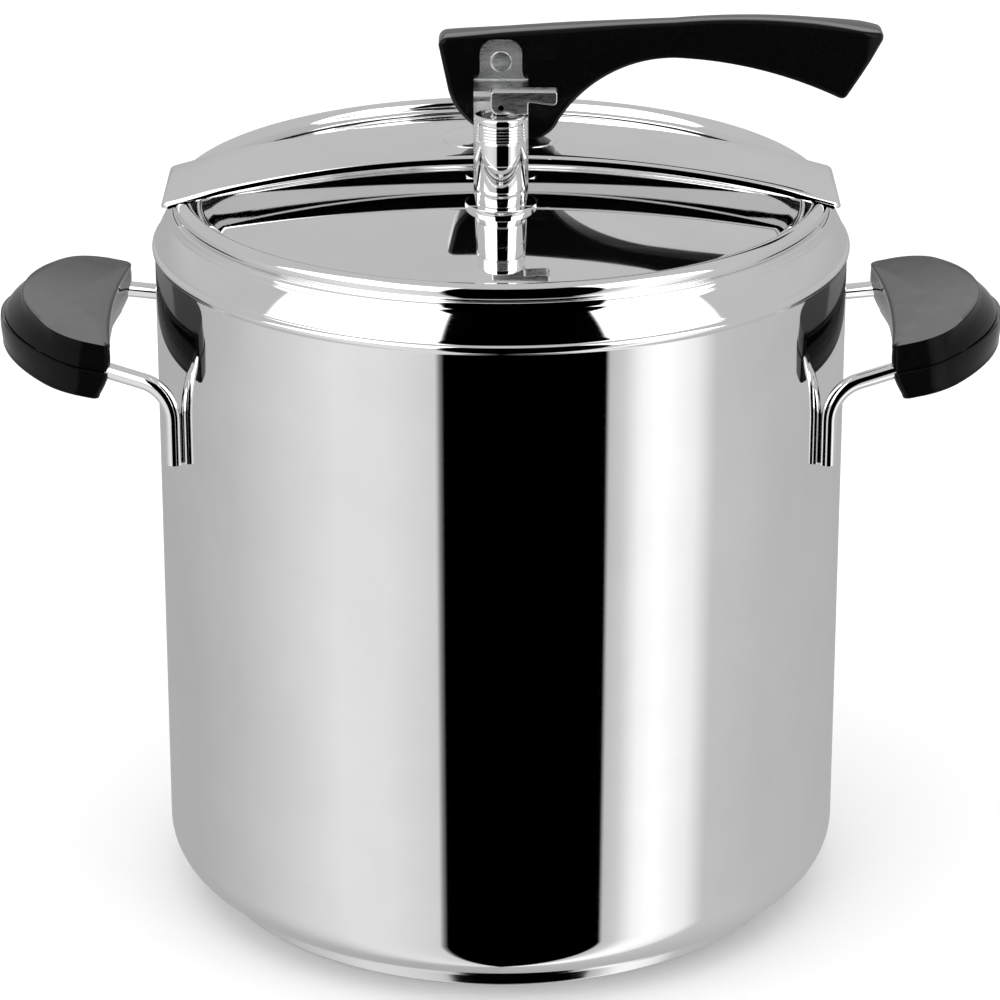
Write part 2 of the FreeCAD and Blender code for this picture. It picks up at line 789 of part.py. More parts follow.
def foot_arcs(height, lead, pivot, turn, steps):
    """The foot from fully turned back to locked, as arcs of the involute."""
    points = []
    for step in range(steps):
        degrees = turn * (1 - step / steps)
        x, z = involute(height, lead, degrees)
        halfway = math.radians(degrees - turn / steps / 2)
        points.append((x, f"{pivot} + {z}", "ccw", f"{height} - {lead} * {halfway}"))
    return points


def make_lever():
    body = new_body("Lever")
    side = new_sketch(body, "XZ_Plane")
    foot = "pivot_z - cam_height"
    outline = foot_arcs("cam_height", "(cam_lead)", "pivot_z", size("cam_turn"), 3)
    outline += [
        ("cam_lead", foot),
        ("toe_x", foot, "ccw", "toe_radius"),
        ("shin_x", f"{foot} + shin_rise"),
        ("knee_x", f"{foot} + knee_rise", "cw", "knee_hollow"),
        ("palm_x", "pivot_z", "cw", "palm_hollow"),
        ("tip_low_x", "pivot_z - tip_low_drop", "ccw", "tip_low_radius"),
        ("tip_end_x", "pivot_z - tip_end_drop"),
        ("tip_top_x", "pivot_z + tip_top_rise", "ccw", "tip_top_radius"),
        ("tip_crown_x", "pivot_z + tip_crown_rise", "ccw", "tip_bow"),
        ("back_x", "pivot_z + back_rise", "ccw", "back_bow"),
        ("crown_x", "pivot_z + crown_rise", "ccw", "heel_corner"),
        ("heel_x", "pivot_z + heel_rise"),
    ]
    add_loop(side, outline)
    pad(body, side, "lever_thick")
    wide = "lever_thick / 2"
    plan = new_sketch(body, "XY_Plane", "pivot_z")
    for sign, turn, back in (("", "ccw", "cw"), ("-", "cw", "ccw")):
        add_loop(plan, [
            ("plan_start", f"{sign}head_half"),
            ("waist_x", f"{sign}head_half", turn, "waist_bow"),
            ("haunch_x", f"{sign}({wide} - haunch_inset)", back, "nose_bow"),
            ("nose_x", f"{sign}nose_half"),
            ("plan_end", f"{sign}nose_half"),
            ("plan_end", f"{sign}({wide} + plan_margin)"),
            ("plan_start", f"{sign}({wide} + plan_margin)"),
        ])
    pocket(body, plan)
    eye = new_sketch(body, "XZ_Plane")
    add_circle(eye, "0", "pivot_z", "bush_radius")
    pocket(body, eye)
    keep(body, "lever_handle")
    across = Placement(Vector(0, 0, size("pivot_z")), Rotation(Vector(1, 0, 0), 90))
    turned("lever_bush", box_points("pin_radius + pin_fit", "-head_half", "bush_radius", "head_half"), across)
    end = "(ear_gap + strap_sheet)"
    turned("pivot_pin", [
        ("0", f"-{end} - pin_head_height"),
        ("0.7 * pin_head_radius", f"-{end} - pin_head_height"),
        ("pin_head_radius", f"-{end} - 0.4 * pin_head_height"),
        ("pin_head_radius", f"-{end}"),
        ("pin_radius", f"-{end}"),
        ("pin_radius", end),
        ("pin_head_radius", end),
        ("pin_head_radius", f"{end} + 0.4 * pin_head_height"),
        ("0.7 * pin_head_radius", f"{end} + pin_head_height"),
        ("0", f"{end} + pin_head_height"),
    ], across)


# ------------------------------------------------------------------ lid

def make_lid():
    dome_z = "lid_top - dome_radius"
    under = "(dome_radius - lid_sheet)"
    inner_end = "(dome_end - 0.4)"
    body = turned("lid_disc", [
        ("0", "lid_top", "cw", "dome_radius"),
        ("dome_end", f"{dome_z} + sqrt(dome_radius^2 - dome_end^2)", "cw", "lid_bend"),
        ("lid_wall_radius", "lid_wall_top"),
        ("lid_wall_radius", "flange_top"),
        ("flange_radius", "flange_top"),
        ("flange_radius", "flange_bottom"),
        ("lid_wall_radius - lid_sheet", "flange_bottom"),
        ("lid_wall_radius - lid_sheet", "lid_wall_top", "ccw", "lid_bend - lid_sheet"),
        (inner_end, f"{dome_z} + sqrt({under}^2 - {inner_end}^2)", "ccw", under),
        ("0", "lid_top - lid_sheet"),
    ])
    seats = (("valve_y", "valve_seat_radius", "valve_seat", "valve_hole"),
             ("safety_y", "safety_seat_radius", "safety_seat", "safety_shank + part_gap"))
    for y, radius, top, _ in seats:
        seat = new_sketch(body, "XY_Plane", top)
        add_circle(seat, "0", y, radius)
        pad(body, seat, f"{top} - seat_under", symmetric=False, reverse=True)
    holes = new_sketch(body, "XY_Plane", "flange_bottom")
    for y, _, _, radius in seats:
        add_circle(holes, "0", y, radius)
    add_circle(holes, "0", "0", "stud_radius")
    pocket(body, holes, symmetric=True)
    turned("lid_gasket", [
        ("lid_wall_radius", "flange_top"),
        ("gasket_radius - gasket_bevel", "flange_top"),
        ("gasket_radius", "flange_top + gasket_bevel"),
        ("gasket_radius", "gasket_top - gasket_lip"),
        ("gasket_radius - gasket_lip", "gasket_top"),
        ("lid_wall_radius", "gasket_top"),
    ])
    plate = "(strap_bottom + strap_sheet)"
    head = "stud_head_radius"
    crown = "(0.6 * stud_head_height)"
    turned("centre_stud", [
        ("0", "stud_end"),
        ("stud_radius", "stud_end"),
        ("stud_radius", plate),
        (head, plate),
        (head, f"{plate} + stud_head_height - {crown}", "ccw", f"({head}^2 + {crown}^2) / (2 * {crown})"),
        ("0", f"{plate} + stud_head_height"),
    ])
    below = "(lid_top - lid_sheet - part_gap)"
    turned("centre_washer", box_points("stud_radius", f"{below} - washer_sheet", "stud_washer_radius", below))
    nut_low = f"{below} - washer_sheet - stud_nut_height"
    hex_nut("centre_nut", "stud_nut_flats", "stud_nut_height", "stud_radius", "0", "0", nut_low)


# ------------------------------------------------------------------ steam valve

def collar_outline():
    """The valve's cap, with a band of grooves that a finger can grip."""
    inner = "(valve_neck)"
    points = [(inner, "valve_shoulder"), ("collar_radius", "valve_shoulder")]
    for groove in range(5):
        low = f"valve_shoulder + {groove + 0.4} * groove_pitch"
        points.append(("collar_radius", low))
        points.append(("collar_radius - groove_depth", f"{low} + 0.25 * groove_pitch"))
        points.append(("collar_radius - groove_depth", f"{low} + 0.45 * groove_pitch"))
        points.append(("collar_radius", f"{low} + 0.7 * groove_pitch"))
    points += [
        ("collar_radius", "collar_top - collar_edge", "ccw", "collar_edge"),
        ("collar_radius - collar_edge", "collar_top"),
        ("stem_radius + stem_play", "collar_top"),
        ("stem_radius + stem_play", "valve_top"),
        (inner, "valve_top"),
    ]
    return points


def make_valve():
    axis = at("0", "valve_y", "0")
    turned("valve_body", [
        ("orifice", "valve_foot"),
        ("valve_shank", "valve_foot"),
        ("valve_shank", "valve_seat"),
        ("valve_shank + shank_step", "valve_seat"),
        ("valve_shank + shank_step", "valve_ring_top"),
        ("valve_radius - valve_bead", "valve_ring_top", "ccw", "valve_bead"),
        ("valve_radius", "valve_ring_top + valve_bead"),
        ("valve_radius", "valve_shoulder - valve_edge"),
        ("valve_radius - valve_edge", "valve_shoulder"),
        ("valve_neck", "valve_shoulder"),
        ("valve_neck", "valve_top"),
        ("chamber_radius", "valve_top"),
        ("chamber_radius", "chamber_floor"),
        ("orifice", "chamber_floor"),
    ], axis)
    turned("valve_base_ring", [
        ("valve_shank + shank_step", "valve_seat"),
        ("valve_ring_radius", "valve_seat"),
        ("valve_ring_radius", "valve_ring_top - ring_edge", "ccw", "ring_edge"),
        ("valve_ring_radius - ring_edge", "valve_ring_top"),
        ("valve_shank + shank_step", "valve_ring_top"),
    ], axis)
    turned("valve_collar", collar_outline(), axis)
    seal = box_points("valve_shank", "seat_under - seal_height", "valve_seal_radius", "seat_under")
    turned("valve_seal", seal, axis)
    nut_low = "seat_under - seal_height - valve_nut_height"
    hex_nut("valve_lock_nut", "valve_nut_flats", "valve_nut_height", "valve_shank", "0", "valve_y", nut_low)
    plug = box_points("0", "chamber_floor + part_gap", "plug_radius", "stem_foot")
    turned("vent_plug", plug, axis)
    low = "stem_foot + stem_flange + part_gap"
    coil_spring("vent_spring", "vent_spring_radius", low, "valve_top - coil_gap", VENT_TURNS, "0", "valve_y")
    make_stem(axis)
    make_toggle(axis)


def make_stem(axis):
    """The valve's stem: a round rod with a flange below and a flat tongue on top."""
    tip = "toggle_z + tongue_rise"
    over = "stem_foot + stem_flange"
    body = turned("vent_stem", [
        ("0", "stem_foot"),
        ("flange_reach", "stem_foot"),
        ("flange_reach", over),
        ("stem_radius", over),
        ("stem_radius", tip),
        ("0", tip),
    ], axis)
    flats = new_sketch(body, "YZ_Plane")
    for sign in ("", "-"):
        add_loop(flats, [
            (f"{sign}tongue_half", "collar_top - tongue_depth"),
            (f"{sign}2 * stem_radius", "collar_top - tongue_depth"),
            (f"{sign}2 * stem_radius", f"{tip} + tongue_rise"),
            (f"{sign}tongue_half", f"{tip} + tongue_rise"),
        ])
    pocket(body, flats)
    eye = new_sketch(body, "XZ_Plane")
    add_circle(eye, "0", "toggle_z", "toggle_pin")
    pocket(body, eye)


def make_toggle(axis):
    """The small lever on the valve: tipped up, its rounded heel lifts the stem."""
    body = new_body("Toggle", axis)
    side = new_sketch(body, "XZ_Plane")
    rate = f"(-toggle_lift / {math.pi / 2})"
    low = "toggle_z - toggle_height"
    outline = foot_arcs("toggle_height", rate, "toggle_z", 90, 2)
    outline += [
        (rate, low),
        ("root_x - root_edge", low, "ccw", "root_edge"),
        ("root_x", f"{low} + root_edge"),
        ("root_x", "toggle_z + bar_low"),
        ("bar_end - bar_corner", "toggle_z + bar_drop", "ccw", "bar_corner"),
        ("bar_end", "toggle_z + bar_drop + bar_corner"),
        ("bar_end", "toggle_z + bar_top - bar_edge", "ccw", "bar_edge"),
        ("bar_end - bar_edge", "toggle_z + bar_top"),
        ("bar_start + root_edge", "toggle_z + bar_top", "ccw", "root_edge"),
        ("bar_start", "toggle_z + bar_top - root_edge"),
    ]
    add_loop(side, outline)
    pad(body, side, "2 * toggle_half")
    slot = new_sketch(body, "XZ_Plane")
    add_loop(slot, box_points("slot_start", f"{low} - slot_play", "slot_end", "toggle_z + slot_rise"))
    pocket(body, slot, "2 * tongue_half + slot_play")
    eye = new_sketch(body, "XZ_Plane")
    add_circle(eye, "0", "toggle_z", "toggle_pin + pin_fit")
    pocket(body, eye)
    keep(body, "vent_toggle")
    pin = doc.addObject("Part::Cylinder", "TogglePin")
    pin.setExpression("Radius", bound("toggle_pin"))
    pin.setExpression("Height", bound("2 * toggle_half + slot_play"))
    lying = Rotation(Vector(1, 0, 0), 90)
    pin.Placement = Placement(Vector(0, size("valve_y + toggle_half + slot_play / 2"), size("toggle_z")), lying)
    keep(pin, "vent_toggle_pin")


# ------------------------------------------------------------------ safety valve

def make_safety_valve():
    axis = at("0", "safety_y", "0")
    floor = "(safety_foot + safety_floor)"
    roof = "(safety_top - safety_roof)"
    turned("safety_body", [
        ("orifice", "safety_foot"),
        ("safety_shank", "safety_foot"),
        ("safety_shank", "safety_seat"),
        ("safety_flange", "safety_seat"),
        ("safety_flange", "safety_flange_top - safety_rim"),
        ("safety_flange - safety_rim", "safety_flange_top"),
        ("safety_crown", "safety_flange_top"),
        ("safety_crown", "safety_top - safety_edge"),
        ("safety_crown - safety_edge", "safety_top"),
        ("safety_hole", "safety_top"),
        ("safety_hole", roof),
        ("safety_bore", roof),
        ("safety_bore", floor),
        ("orifice", floor),
    ], axis)
    turned("safety_piston", [
        ("0", f"{floor} + part_gap"),
        ("safety_bore - piston_play", f"{floor} + part_gap"),
        ("safety_bore - piston_play", f"{floor} + piston_head"),
        ("piston_rod", f"{floor} + piston_head"),
        ("piston_rod", "safety_top + piston_play"),
        ("0", "safety_top + piston_play"),
    ], axis)
    low = f"{floor} + piston_head + part_gap"
    coil_spring("safety_spring", "safety_spring_radius", low, f"{roof} - coil_gap", SAFETY_TURNS, "0", "safety_y")
    seal = box_points("safety_shank", "seat_under - seal_height", "safety_seal_radius", "seat_under")
    turned("safety_seal", seal, axis)
    nut_low = "seat_under - seal_height - safety_nut_height"
    hex_nut("safety_lock_nut", "safety_nut_flats", "safety_nut_height", "safety_shank", "0", "safety_y", nut_low)


# ------------------------------------------------------------------ build, check, write

def check_document():
    doc.recompute()
    broken = [item.Name for item in doc.Objects if {"Invalid", "Error"} & set(item.State)]
    if broken:
        raise RuntimeError("failed objects: " + ", ".join(broken))
    for item in sub_parts:
        if item.Shape.isNull() or not item.Shape.isValid() or not item.Shape.Solids:
            raise RuntimeError(f"{item.Label} has no valid solid")


make_pot()
make_handle("right", 0)
make_handle("left", 180)
make_bridge()
make_stirrup()
make_lever()
make_lid()
make_valve()
make_safety_valve()
check_document()

os.makedirs("parts", exist_ok=True)
for item in sub_parts:
    item.Shape.exportStep(f"parts/{item.Label}.step")
    box = item.Shape.BoundBox
    print(f"{item.Label:20s} solids {len(item.Shape.Solids)} volume {item.Shape.Volume:10.1f}"
          f" x {box.XMin:7.1f} {box.XMax:7.1f} y {box.YMin:7.1f} {box.YMax:7.1f}"
          f" z {box.ZMin:6.1f} {box.ZMax:6.1f}")
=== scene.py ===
"""The looks of the stovetop pressure cooker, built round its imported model. Metres, +Z up."""

import json
import math

import bmesh
import bpy
from mathutils import Matrix, Vector

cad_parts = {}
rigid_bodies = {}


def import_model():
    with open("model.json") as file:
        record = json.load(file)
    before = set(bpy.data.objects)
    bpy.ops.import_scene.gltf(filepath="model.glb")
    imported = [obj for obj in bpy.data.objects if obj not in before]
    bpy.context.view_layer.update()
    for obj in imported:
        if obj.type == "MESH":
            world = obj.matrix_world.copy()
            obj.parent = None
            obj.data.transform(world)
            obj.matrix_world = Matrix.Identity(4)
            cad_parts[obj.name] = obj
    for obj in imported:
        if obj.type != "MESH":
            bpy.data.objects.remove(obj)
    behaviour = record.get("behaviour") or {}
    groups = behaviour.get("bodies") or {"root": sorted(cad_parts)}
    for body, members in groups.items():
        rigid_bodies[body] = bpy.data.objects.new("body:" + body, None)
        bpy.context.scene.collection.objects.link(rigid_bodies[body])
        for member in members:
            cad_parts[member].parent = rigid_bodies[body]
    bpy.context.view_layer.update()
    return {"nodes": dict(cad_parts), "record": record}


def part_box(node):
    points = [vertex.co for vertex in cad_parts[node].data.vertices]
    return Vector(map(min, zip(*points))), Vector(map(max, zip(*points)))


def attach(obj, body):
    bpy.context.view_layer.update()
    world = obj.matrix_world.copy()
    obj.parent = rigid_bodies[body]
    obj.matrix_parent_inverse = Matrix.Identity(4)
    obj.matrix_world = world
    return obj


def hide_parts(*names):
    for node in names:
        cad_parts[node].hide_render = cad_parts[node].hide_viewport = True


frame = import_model()

MM = 0.001
WALL_R = 111.5              # outside of the pot's wall, and other places that several pieces share
VALVE_Y = -36.5
SAFETY_Y = 38.0
joints = {joint["name"]: joint for joint in frame["record"]["behaviour"]["joints"]}


# ---------------------------------------------------------------- mesh helpers

def arc(centre, radius, start, end, steps):
    """Points of an arc, angles in degrees, from start to end."""
    points = []
    for step in range(steps + 1):
        angle = math.radians(start + (end - start) * step / steps)
        points.append((centre[0] + radius * math.cos(angle), centre[1] + radius * math.sin(angle)))
    return points


def arc_through(start, end, radius, steps):
    """The short arc between two points: a positive radius turns left, a negative one right."""
    (x0, y0), (x1, y1) = start, end
    chord = math.hypot(x1 - x0, y1 - y0)
    reach = math.sqrt(max(radius * radius - chord * chord / 4, 0.0)) * math.copysign(1, radius)
    cx = (x0 + x1) / 2 - (y1 - y0) / chord * reach
    cy = (y0 + y1) / 2 + (x1 - x0) / chord * reach
    first = math.atan2(y0 - cy, x0 - cx)
    last = math.atan2(y1 - cy, x1 - cx)
    turn = math.remainder(last - first, 2 * math.pi)
    size = abs(radius)
    angles = [first + turn * step / steps for step in range(steps + 1)]
    return [(cx + size * math.cos(angle), cy + size * math.sin(angle)) for angle in angles]


def outline(rows):
    """A closed outline in millimetres: (x, y) leads on by a line, (x, y, radius, steps) by an arc."""
    points = []
    for number, row in enumerate(rows):
        after = rows[(number + 1) % len(rows)]
        if len(row) == 2:
            points.append(row)
        else:
            points += arc_through(row[:2], after[:2], row[2], row[3])[:-1]
    return points


def finish_mesh(work, name, material, body, smooth_angle=32, replaced=()):
    """Turns a bmesh into a piece that rides on a body."""
    bmesh.ops.remove_doubles(work, verts=work.verts, dist=1e-7)
    bmesh.ops.recalc_face_normals(work, faces=work.faces)
    mesh = bpy.data.meshes.new(name)
    work.to_mesh(mesh)
    work.free()
    piece = bpy.data.objects.new(name, mesh)
    bpy.context.scene.collection.objects.link(piece)
    mesh.materials.append(material)
    mesh.shade_smooth()
    mesh.set_sharp_from_angle(angle=math.radians(smooth_angle))
    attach(piece, body)
    if replaced:
        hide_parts(*replaced)
    return piece


def lathe(work, profile, axis=(0.0, 0.0), segments=96, place=None):
    """Turns a closed profile of (radius, height) in millimetres about an upright axis."""
    rings = []
    for radius, height in profile:
        if radius < 1e-6:
            rings.append([work.verts.new((axis[0] * MM, axis[1] * MM, height * MM))])
            continue
        ring = []
        for step in range(segments):
            angle = 2 * math.pi * step / segments
            x = (axis[0] + radius * math.cos(angle)) * MM
            y = (axis[1] + radius * math.sin(angle)) * MM
            ring.append(work.verts.new((x, y, height * MM)))
        rings.append(ring)
    for number, ring in enumerate(rings):
        after = rings[(number + 1) % len(rings)]
        for step in range(segments):
            corner = (step + 1) % segments
            quad = [ring[step % len(ring)], ring[corner % len(ring)],
                    after[corner % len(after)], after[step % len(after)]]
            unique = list(dict.fromkeys(quad))
            if len(unique) > 2:
                work.faces.new(unique)
    if place is not None:
        new = [vertex for ring in rings for vertex in ring]
        bmesh.ops.transform(work, matrix=place, verts=new)


def turned(name, rows, material, body, replaced, axis=(0.0, 0.0), segments=96, place=None):
    """A piece turned from an outline of (radius, height) rows, standing for CAD nodes."""
    work = bmesh.new()
    lathe(work, outline(rows), axis, segments, place)
    return finish_mesh(work, name, material, body, replaced=replaced)


def slice_along(work, axis_number, places):
    """Cuts the mesh across one axis, so that long flat faces can follow a curve."""
    normal = [0.0, 0.0, 0.0]
    normal[axis_number] = 1.0
    for place in places:
        point = [value * place * MM for value in normal]
        everything = work.verts[:] + work.edges[:] + work.faces[:]
        bmesh.ops.bisect_plane(work, geom=everything, plane_co=point, plane_no=normal)


def outward(points):
    """The outward normal at each point of a closed outline that runs counter-clockwise."""
    normals = []
    for number, point in enumerate(points):
        before = Vector(point) - Vector(points[number - 1])
        after = Vector(points[(number + 1) % len(points)]) - Vector(point)
        sides = [Vector((run.y, -run.x)).normalized() for run in (before, after)]
        total = sides[0] + sides[1]
        normals.append(total / max(1.0 + sides[0].dot(sides[1]), 0.4))
    return normals


def slab(work, points, half, edge, steps=6):
    """A plate across Y with rounded edges; edge(x, normal) gives the rounding at a point."""
    normals = outward(points)
    rings = []
    for side in (-1, 1):
        angles = [90 * step / steps for step in range(steps, -1, -1)]
        for angle in angles if side < 0 else reversed(angles):
            turn = math.radians(angle)
            ring = []
            for point, normal in zip(points, normals):
                radius = edge(point[0], normal)
                spot = Vector(point) - normal * (radius * (1 - math.cos(turn)))
                y = side * (half - radius * (1 - math.sin(turn)))
                ring.append(work.verts.new((spot.x * MM, y * MM, spot.y * MM)))
            rings.append(ring)
    count = len(points)
    for ring, after in zip(rings, rings[1:]):
        for step in range(count):
            corner = (step + 1) % count
            work.faces.new([ring[step], ring[corner], after[corner], after[step]])
    work.faces.new(rings[0])
    work.faces.new(list(reversed(rings[-1])))


def strip(work, path, thick, half_width):
    """A strip of sheet metal whose middle follows a path in the YZ plane."""
    rings = []
    for number, spot in enumerate(path):
        before = path[max(number - 1, 0)]
        after = path[min(number + 1, len(path) - 1)]
        along = (after - before).normalized()
        normal = Vector((0, -along.z, along.y)) * (thick / 2)
        wide = half_width(spot)
        ring = []
        for x, offset in ((-wide, normal), (wide, normal), (wide, -normal), (-wide, -normal)):
            ring.append(work.verts.new(Vector((x, spot.y + offset.y, spot.z + offset.z)) * MM))
        rings.append(ring)
    for ring, after in zip(rings, rings[1:]):
        for step in range(4):
            corner = (step + 1) % 4
            work.faces.new([ring[step], ring[corner], after[corner], after[step]])
    work.faces.new(list(reversed(rings[0])))
    work.faces.new(rings[-1])


def bevel(work, width, segments, angle=30):
    """Rounds every edge sharper than the angle."""
    limit = math.radians(angle)
    edges = [edge for edge in work.edges
             if len(edge.link_faces) == 2 and edge.calc_face_angle(0.0) > limit]
    bmesh.ops.bevel(work, geom=edges, offset=width * MM, segments=segments, profile=0.5,
                    affect="EDGES", clamp_overlap=False)


def tube(work, points, radius, sides=28):
    """A round rod along points in millimetres, with flat ends."""
    spots = [Vector(point) for point in points]
    tangents = []
    for number in range(len(spots)):
        before = spots[max(number - 1, 0)]
        after = spots[min(number + 1, len(spots) - 1)]
        tangents.append((after - before).normalized())
    normal = tangents[0].orthogonal().normalized()
    rings = []
    for number, spot in enumerate(spots):
        if number:
            turn = tangents[number - 1].rotation_difference(tangents[number])
            normal = turn @ normal
        side = tangents[number].cross(normal)
        ring = []
        for step in range(sides):
            angle = 2 * math.pi * step / sides
            offset = (normal * math.cos(angle) + side * math.sin(angle)) * radius
            ring.append(work.verts.new((spot + offset) * MM))
        rings.append(ring)
    for ring, after in zip(rings, rings[1:]):
        for step in range(sides):
            corner = (step + 1) % sides
            work.faces.new([ring[step], ring[corner], after[corner], after[step]])
    work.faces.new(list(reversed(rings[0])))
    work.faces.new(rings[-1])


def rounded_route(points, radii, steps=14):
    """Straight runs joined by tangent arcs at the inner points, as sampled points."""
    spots = [Vector(point) for point in points]
    route = [spots[0]]
    for before, corner, after, radius in zip(spots, spots[1:], spots[2:], radii):
        arriving = (before - corner).normalized()
        leaving = (after - corner).normalized()
        half = arriving.angle(leaving) / 2
        setback = radius / math.tan(half)
        centre = corner + (arriving + leaving).normalized() * (radius / math.sin(half))
        first = corner + arriving * setback - centre
        last = corner + leaving * setback - centre
        for step in range(steps + 1):
            route.append(centre + first.slerp(last, step / steps) * radius)
    route.append(spots[-1])
    return route


# ---------------------------------------------------------------- materials

class Nodes:
    """A short way to write a material's node tree."""

    def __init__(self, name):
        self.material = bpy.data.materials.new(name)
        self.material.use_nodes = True
        self.tree = self.material.node_tree
        self.shader = next(node for node in self.tree.nodes if node.type == "BSDF_PRINCIPLED")

    def add(self, kind, **values):
        node = self.tree.nodes.new(kind)
        for key, value in values.items():
            if hasattr(node, key):
                setattr(node, key, value)
            else:
                node.inputs[key.replace("_", " ")].default_value = value
        return node

    def link(self, source, target):
        self.tree.links.new(source, target)

    def set(self, **values):
        for key, value in values.items():
            self.shader.inputs[key.replace("_", " ")].default_value = value

    def position(self, scale=(1.0, 1.0, 1.0)):
        coordinates = self.add("ShaderNodeTexCoord")
        mapping = self.add("ShaderNodeMapping", Scale=scale)
        self.link(coordinates.outputs["Object"], mapping.inputs["Vector"])
        return mapping.outputs["Vector"]

    def noise(self, scale, detail=3.0, roughness=0.55, stretch=(1.0, 1.0, 1.0)):
        texture = self.add("ShaderNodeTexNoise", Scale=scale, Detail=detail, Roughness=roughness)
        self.link(self.position(stretch), texture.inputs["Vector"])
        return texture.outputs["Fac"]

    def span(self, value, low, high, source=(0.3, 0.7)):
        remap = self.add("ShaderNodeMapRange")
        remap.inputs["From Min"].default_value = source[0]
        remap.inputs["From Max"].default_value = source[1]
        remap.inputs["To Min"].default_value = low
        remap.inputs["To Max"].default_value = high
        self.link(value, remap.inputs["Value"])
        return remap.outputs["Result"]

    def tint(self, value, dark, light):
        mix = self.add("ShaderNodeMix", data_type="RGBA")
        colours = [socket for socket in mix.inputs if socket.type == "RGBA"]
        colours[0].default_value = (*dark, 1.0)
        colours[1].default_value = (*light, 1.0)
        self.link(value, mix.inputs["Factor"])
        output = next(socket for socket in mix.outputs if socket.type == "RGBA")
        self.link(output, self.shader.inputs["Base Color"])

    def rough(self, value, low, high):
        self.link(self.span(value, low, high), self.shader.inputs["Roughness"])

    def bump(self, height, strength, distance):
        node = self.add("ShaderNodeBump", Strength=strength, Distance=distance)
        self.link(height, node.inputs["Height"])
        self.link(node.outputs["Normal"], self.shader.inputs["Normal"])


def steel(name, colour, rough_low, rough_high, lines=(1.0, 1.0, 1.0), bump=0.0, scale=90.0):
    """Polished or brushed steel: fine polishing lines and soft cloudy wear in its gloss."""
    nodes = Nodes(name)
    nodes.set(Metallic=1.0)
    cloud = nodes.noise(28.0, 4.0)
    light = [min(value * 1.03, 1.0) for value in colour]
    dark = [value * 0.965 for value in colour]
    nodes.tint(nodes.span(cloud, 0.0, 1.0), dark, light)
    fine = nodes.noise(scale, 5.0, 0.6, lines)
    nodes.rough(fine, rough_low, rough_high)
    if bump:
        nodes.bump(fine, bump, 0.00002)
    return nodes.material


def bakelite():
    """Glossy black moulded phenolic: a faint grain, soft orange peel and a hard surface shine."""
    nodes = Nodes("black_bakelite")
    nodes.set(IOR=1.45, Specular_Tint=(0.25, 0.25, 0.25, 1.0))
    grain = nodes.noise(900.0, 6.0, 0.7)
    nodes.tint(nodes.span(grain, 0.0, 1.0), (0.0014, 0.0014, 0.0016), (0.0032, 0.0032, 0.0034))
    nodes.rough(nodes.noise(160.0, 3.0), 0.10, 0.15)
    nodes.bump(nodes.noise(420.0, 2.0), 0.02, 0.00004)
    return nodes.material


def rubber():
    nodes = Nodes("gasket_rubber")
    nodes.tint(nodes.span(nodes.noise(600.0), 0.0, 1.0), (0.018, 0.018, 0.019), (0.035, 0.035, 0.036))
    nodes.rough(nodes.noise(300.0), 0.45, 0.62)
    nodes.bump(nodes.noise(1500.0), 0.2, 0.00005)
    return nodes.material


def brass():
    nodes = Nodes("brass_piston")
    nodes.set(Metallic=1.0)
    nodes.tint(nodes.span(nodes.noise(80.0), 0.0, 1.0), (0.62, 0.45, 0.18), (0.78, 0.60, 0.28))
    nodes.rough(nodes.noise(400.0, 4.0, 0.6, (1, 1, 12)), 0.16, 0.3)
    return nodes.material


MIRROR = steel("mirror_steel", (0.935, 0.937, 0.942), 0.018, 0.045, (1, 1, 14), 0.0)
DOME = steel("dome_steel", (0.925, 0.927, 0.932), 0.022, 0.05, (1, 1, 1), 0.0, 60.0)
CHROME = steel("bright_chrome", (0.95, 0.952, 0.957), 0.02, 0.045, (1, 1, 5), 0.0, 200.0)
SATIN = steel("satin_steel", (0.80, 0.805, 0.81), 0.22, 0.36, (1, 1, 9), 0.12, 260.0)
FORMED = steel("formed_steel", (0.62, 0.625, 0.63), 0.1, 0.2, (1, 1, 16), 0.1, 240.0)
BRUSHED = steel("brushed_steel", (0.74, 0.745, 0.755), 0.2, 0.34, (1, 1, 30), 0.25, 300.0)
BASE_STEEL = steel("base_steel", (0.86, 0.862, 0.868), 0.07, 0.14, (1, 1, 20), 0.08, 200.0)
ALUMINIUM = steel("cast_aluminium", (0.78, 0.79, 0.80), 0.3, 0.45, (1, 1, 1), 0.3, 400.0)
BAKELITE = bakelite()
RUBBER = rubber()
BRASS = brass()

NODE_MATERIALS = {
    "base_core": ALUMINIUM,
    "lever_bush": BRUSHED,
    "lid_gasket": RUBBER,
    "centre_stud": CHROME,
    "centre_washer": BRUSHED,
    "centre_nut": BRUSHED,
    "valve_seal": RUBBER,
    "valve_lock_nut": BRUSHED,
    "vent_spring": BRUSHED,
    "vent_plug": RUBBER,
    "vent_stem": CHROME,
    "vent_toggle_pin": CHROME,
    "safety_piston": BRASS,
    "safety_spring": BRUSHED,
    "safety_seal": RUBBER,
    "safety_lock_nut": BRUSHED,
    "left_grip_screws": BRUSHED,
    "right_grip_screws": BRUSHED,
}


def dress_cad_nodes():
    """Gives the CAD nodes that stay visible their finished materials."""
    for node, material in NODE_MATERIALS.items():
        for slot in frame["nodes"][node].material_slots:
            slot.material = material


# ---------------------------------------------------------------- pot

